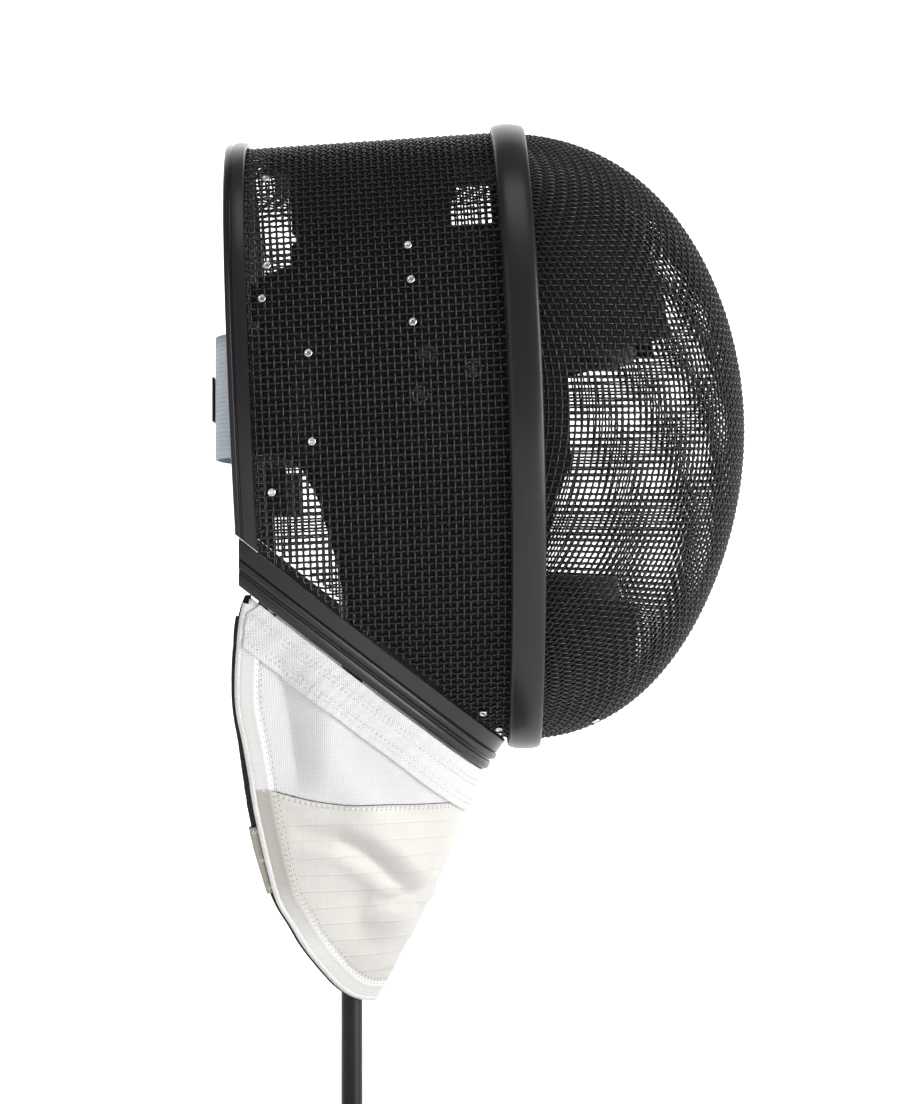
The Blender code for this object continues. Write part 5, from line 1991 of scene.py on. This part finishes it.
# %% Corner tabs
CORNER_TAB_LENGTH = 0.0100
CORNER_TAB_WIDTH = 0.0090
CORNER_TAB_LEAN = 0.0030
TAB_WALL = 0.0012
LOOP_WIDTHS = ((0.0, 0.30), (0.5, 0.55), (1.0, 0.62))  # share down, share of the full width
for side, sign in SIDES:
    rows = []
    for down in spread(0, 1, 13):
        drop = Vector((-CORNER_TAB_LEAN * down * 0.6, 0, -CORNER_TAB_LENGTH * down))
        middle = BIB_TOP_CORNER + drop
        bow = 0.0012 * math.sin(math.pi * down)
        middle.y = sign * (abs(BIB_TOP_CORNER.y) - HALF - 2 * TAB_WALL + bow)
        half = column(LOOP_WIDTHS, down) * CORNER_TAB_WIDTH / 2
        rows.append([middle + Vector((shift * half, 0, 0)) for shift in spread(-1, 1, 7)])
    nodes = ["corner_tab_" + side]
    laid("corner_loop_" + side, rows, webbing, "dark_webbing", TAB_WALL, "hung", "jaw_strip", *nodes)

# %% [markdown]
# ## Cloth sizes
#
# The cut isn't a rectangle, so for each bib cloth the share of its rectangle that its area fills
# is printed, with the seam's length. The cloths hang from the trim along the jaw; the strap is stretched.

# %% What each sheet was cut to
seam_length = lengths([point for point, facing in seam_row(0.0, 0.0)])[-1]
print("seam", round(seam_length, 3))
BIB_FLAT = {"bib_upper_cloth": (0.336, 0.090), "bib_lower_cloth": (0.250, 0.105)}
for node, flat in BIB_FLAT.items():
    piece, size = cloths[node]
    print(node, "share of its rectangle", round(size / flat[0] / flat[1], 2))
cut_from(strap_cut)

# %% [markdown]
# ## Wall tabs
#
# Inside the wire, a dark tab at each strap rivet spreads the pull. It lies along the wall.

# %% Tabs under the rivets
TABS = (
    # name, from and to along, from and to up
    ("upper", 0.860, 0.945, 0.350, 0.480),
    ("lower", 0.850, 0.925, -0.265, -0.110),
)
WALL_TAB_INSET = WEAVE_WALL / 2 + GAP + TAB_WALL / 2
for side, sign in SIDES:
    for name, first, last, low, high in TABS:
        places = spread(first, last, 11)
        rows = [
            [crown_point(math.acos(up), place, WALL_TAB_INSET) for place in places]
            for up in spread(low, high, 15)
        ]
        names = (f"{name}_tab_{side}", mirrored(rows, sign), webbing, "dark_webbing", TAB_WALL)
        laid(*names, "laid", "crown_wires_along", f"wall_tab_{name}_{side}")

# %% [markdown]
# ## The stand
#
# The mask hangs over a plain stand: a round foot, a slim rod and a rounded rest under the
# crown. All three are turned shapes, so each is a profile spun about the rod's axis. The
# paint is a satin black with a faint orange-peel that only shows in the highlights.

# %% Foot, rod and rest
FOOT_RADIUS = 0.1050
FOOT_HEIGHT = 0.0100
FOOT_ROUND = 0.0040
FOOT_CHAMFER = 0.0015
ROD_RADIUS = 0.0050
REST_RADIUS = 0.0300
REST_HEIGHT = 0.0160
REST_ROUND = 0.0070
TIP = 0.0004  # radius at which a profile closes on the axis


def turned(name, profile, finish, slot, node, steps=96):
    """A profile of (radius, height) spun about the stand's axis."""
    circle = [2 * math.pi * step / steps for step in range(steps)]
    rings = [[(radius * math.cos(t), radius * math.sin(t), z) for t in circle] for radius, z in profile]
    return settle(name, tube_mesh(name, rings, 30), finish, slot, node)


paint = Finish("stand_paint", (0.007, 0.007, 0.008), 0.34, {"Specular IOR Level": 0.35})
paint.set("Roughness", paint.noise(90.0) * 0.14 + 0.27)
paint.bump(paint.noise(900.0), 0.15, 0.0001)

foot = [(TIP, FOOT_HEIGHT), (FOOT_RADIUS * 0.30, FOOT_HEIGHT), (FOOT_RADIUS - FOOT_ROUND, FOOT_HEIGHT)]
foot += [
    (FOOT_RADIUS - FOOT_ROUND * (1 - math.sin(t)), FOOT_HEIGHT - FOOT_ROUND * (1 - math.cos(t)))
    for t in spread(0.15, math.pi / 2, 8)
]
foot += [(FOOT_RADIUS, FOOT_CHAMFER), (FOOT_RADIUS - FOOT_CHAMFER, 0.0), (TIP, 0.0)]
turned("round_foot", foot, paint, "stand_paint", "stand_foot")
rest_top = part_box("stand_rest")[1][2]
rod_top = rest_top - REST_HEIGHT - GAP
rod = [(TIP, rod_top), (ROD_RADIUS - 0.0006, rod_top), (ROD_RADIUS, rod_top - 0.0006)]
rod += [(ROD_RADIUS, z) for z in spread(rod_top - 0.002, FOOT_HEIGHT + GAP + 0.001, 24)]
rod += [(ROD_RADIUS - 0.0004, FOOT_HEIGHT + GAP), (TIP, FOOT_HEIGHT + GAP)]
turned("slim_rod", rod, paint, "stand_paint", "stand_rod", 48)
rest = [(TIP, rest_top)]
rest += [
    (REST_RADIUS * math.sin(t), rest_top - REST_ROUND * 1.3 * (1 - math.cos(t) ** 0.9))
    for t in spread(0.12, math.pi / 2 - 0.02, 14)
]
rest += [(REST_RADIUS * 0.97, rest_top - REST_ROUND * 1.55), (REST_RADIUS * 0.8, rest_top - REST_HEIGHT)]
rest += [(TIP, rest_top - REST_HEIGHT)]
turned("rounded_rest", rest, paint, "stand_paint", "stand_rest")

# %% [markdown]
# ## The lining
#
# A thin black lining cloth is riveted to the wire and carries the foam pads. It reaches
# further than the foam, and its outline is what shows through the weave: a dark shape with
# daylight round it. It lies just inside the wire, as a sheet between two edges per height.

# %% The lining cloth
LINING_INSET = WEAVE_WALL / 2 + 0.0012
LINING_WALL = 0.0010
LINING_HEIGHTS = (0.2155, 0.4485)
ROOF_REACH = (-0.0395, 0.0740)
BROW_HEIGHTS = (0.2225, 0.4870)
BROW_START = 0.0060  # how far ahead of the band the front's lining starts
LINING = (
    # height, rear edge, front edge
    (0.4486, -0.0052, 0.0403),
    (0.4468, -0.0109, 0.0443),
    (0.4441, -0.0190, 0.0560),
    (0.4436, -0.0200, 0.0745),
    (0.4374, -0.0252, 0.0745),
    (0.4280, -0.0252, 0.0745),
    (0.4240, -0.0395, 0.0745),
    (0.3450, -0.0395, 0.0745),
    (0.3407, -0.0216, 0.0745),
    (0.3238, -0.0127, 0.0745),
    (0.2970, -0.0051, 0.0745),
    (0.2747, -0.0007, 0.0745),
    (0.2150, 0.0600, 0.0745),
)
ROOF_LINING = (
    # x, height of its lower edge
    (-0.0400, 0.4800),
    (-0.0260, 0.4800),
    (-0.0250, 0.4470),
    (0.0440, 0.4470),
    (0.0470, 0.4800),
    (0.0745, 0.4800),
)
ROOF_OPEN = 0.034  # how far from the middle the roof's lining starts, clear of the rest


def crown_at(x, z, inset):
    """The crown's right side at a place seen from the side."""
    up = (z - MIDDLE_Z) / HALF_HEIGHT
    for _ in range(12):
        along = (band_x(up) - x) / CROWN_LENGTH
        point = crown_point(math.acos(min(max(up, -1), 1)), along, inset)
        up += (z - point.z) / HALF_HEIGHT
        x_miss = point.x - x
        along += x_miss / CROWN_LENGTH
    return crown_point(math.acos(min(max(up, -1), 1)), along, inset)


lining_rows = []
for z in spread(*LINING_HEIGHTS, 84):
    rear, ahead_x = column(LINING, z, 1), column(LINING, z, 2)
    jaw_x = JAW_POINT.x - (z - JAW_POINT.z) / math.tan(JAW_ANGLE) + 0.0012
    rear = min(max(rear, jaw_x), ahead_x - 0.001)
    lining_rows.append([crown_at(x, z, LINING_INSET) for x in spread(rear, ahead_x, 24)])
LINED = (padding, "padding_cloth", LINING_WALL, "stretched")
for side, sign in SIDES:
    laid("lining_" + side, mirrored(lining_rows, sign), *LINED, "crown_wires_along")
    rows = []
    for x in spread(*ROOF_REACH, 40):
        low_up = (column(ROOF_LINING, x) - MIDDLE_Z) / HALF_HEIGHT
        along = (band_x(low_up) - x) / CROWN_LENGTH
        start = math.acos(min(low_up, 1))

        def over_rest(turn):
            return abs(crown_point(turn, along, LINING_INSET).y) < ROOF_OPEN

        stop = first_share(start, 0.0, over_rest)
        rows.append([crown_point(sign * turn, along, LINING_INSET) for turn in spread(start, stop, 26)])
    laid("roof_lining_" + side, rows, *LINED, "crown_wires_along")

# %% The lining inside the front
BROW_LINING = (
    # height, how far ahead of the band it reaches
    (0.4880, 0.0200),
    (0.4700, 0.0440),
    (0.4500, 0.0560),
    (0.4200, 0.0640),
    (0.3975, 0.0660),
    (0.3890, 0.0300),
    (0.3860, 0.0190),
    (0.3400, 0.0190),
    (0.3230, 0.0120),
    (0.2970, 0.0075),
    (0.2800, 0.0070),
    (0.2770, 0.0500),
    (0.2500, 0.0490),
    (0.2300, 0.0400),
    (0.2220, 0.0280),
)
brow_rows = []
for z in spread(*BROW_HEIGHTS, 90):
    up = (z - MIDDLE_Z) / HALF_HEIGHT
    reach = column(BROW_LINING, z)
    level = math.sqrt(1 - up * up)
    row = []
    for place in spread(BROW_START, max(reach, BROW_START + 0.0005), 18):
        swing = math.acos(min(1, place / (front_depth(up, LINING_INSET) * level)))
        row.append(front_point(up, swing, LINING_INSET))
    brow_rows.append(row)
for side, sign in SIDES:
    laid("front_lining_" + side, mirrored(brow_rows, sign), *LINED, "front_wires_level")
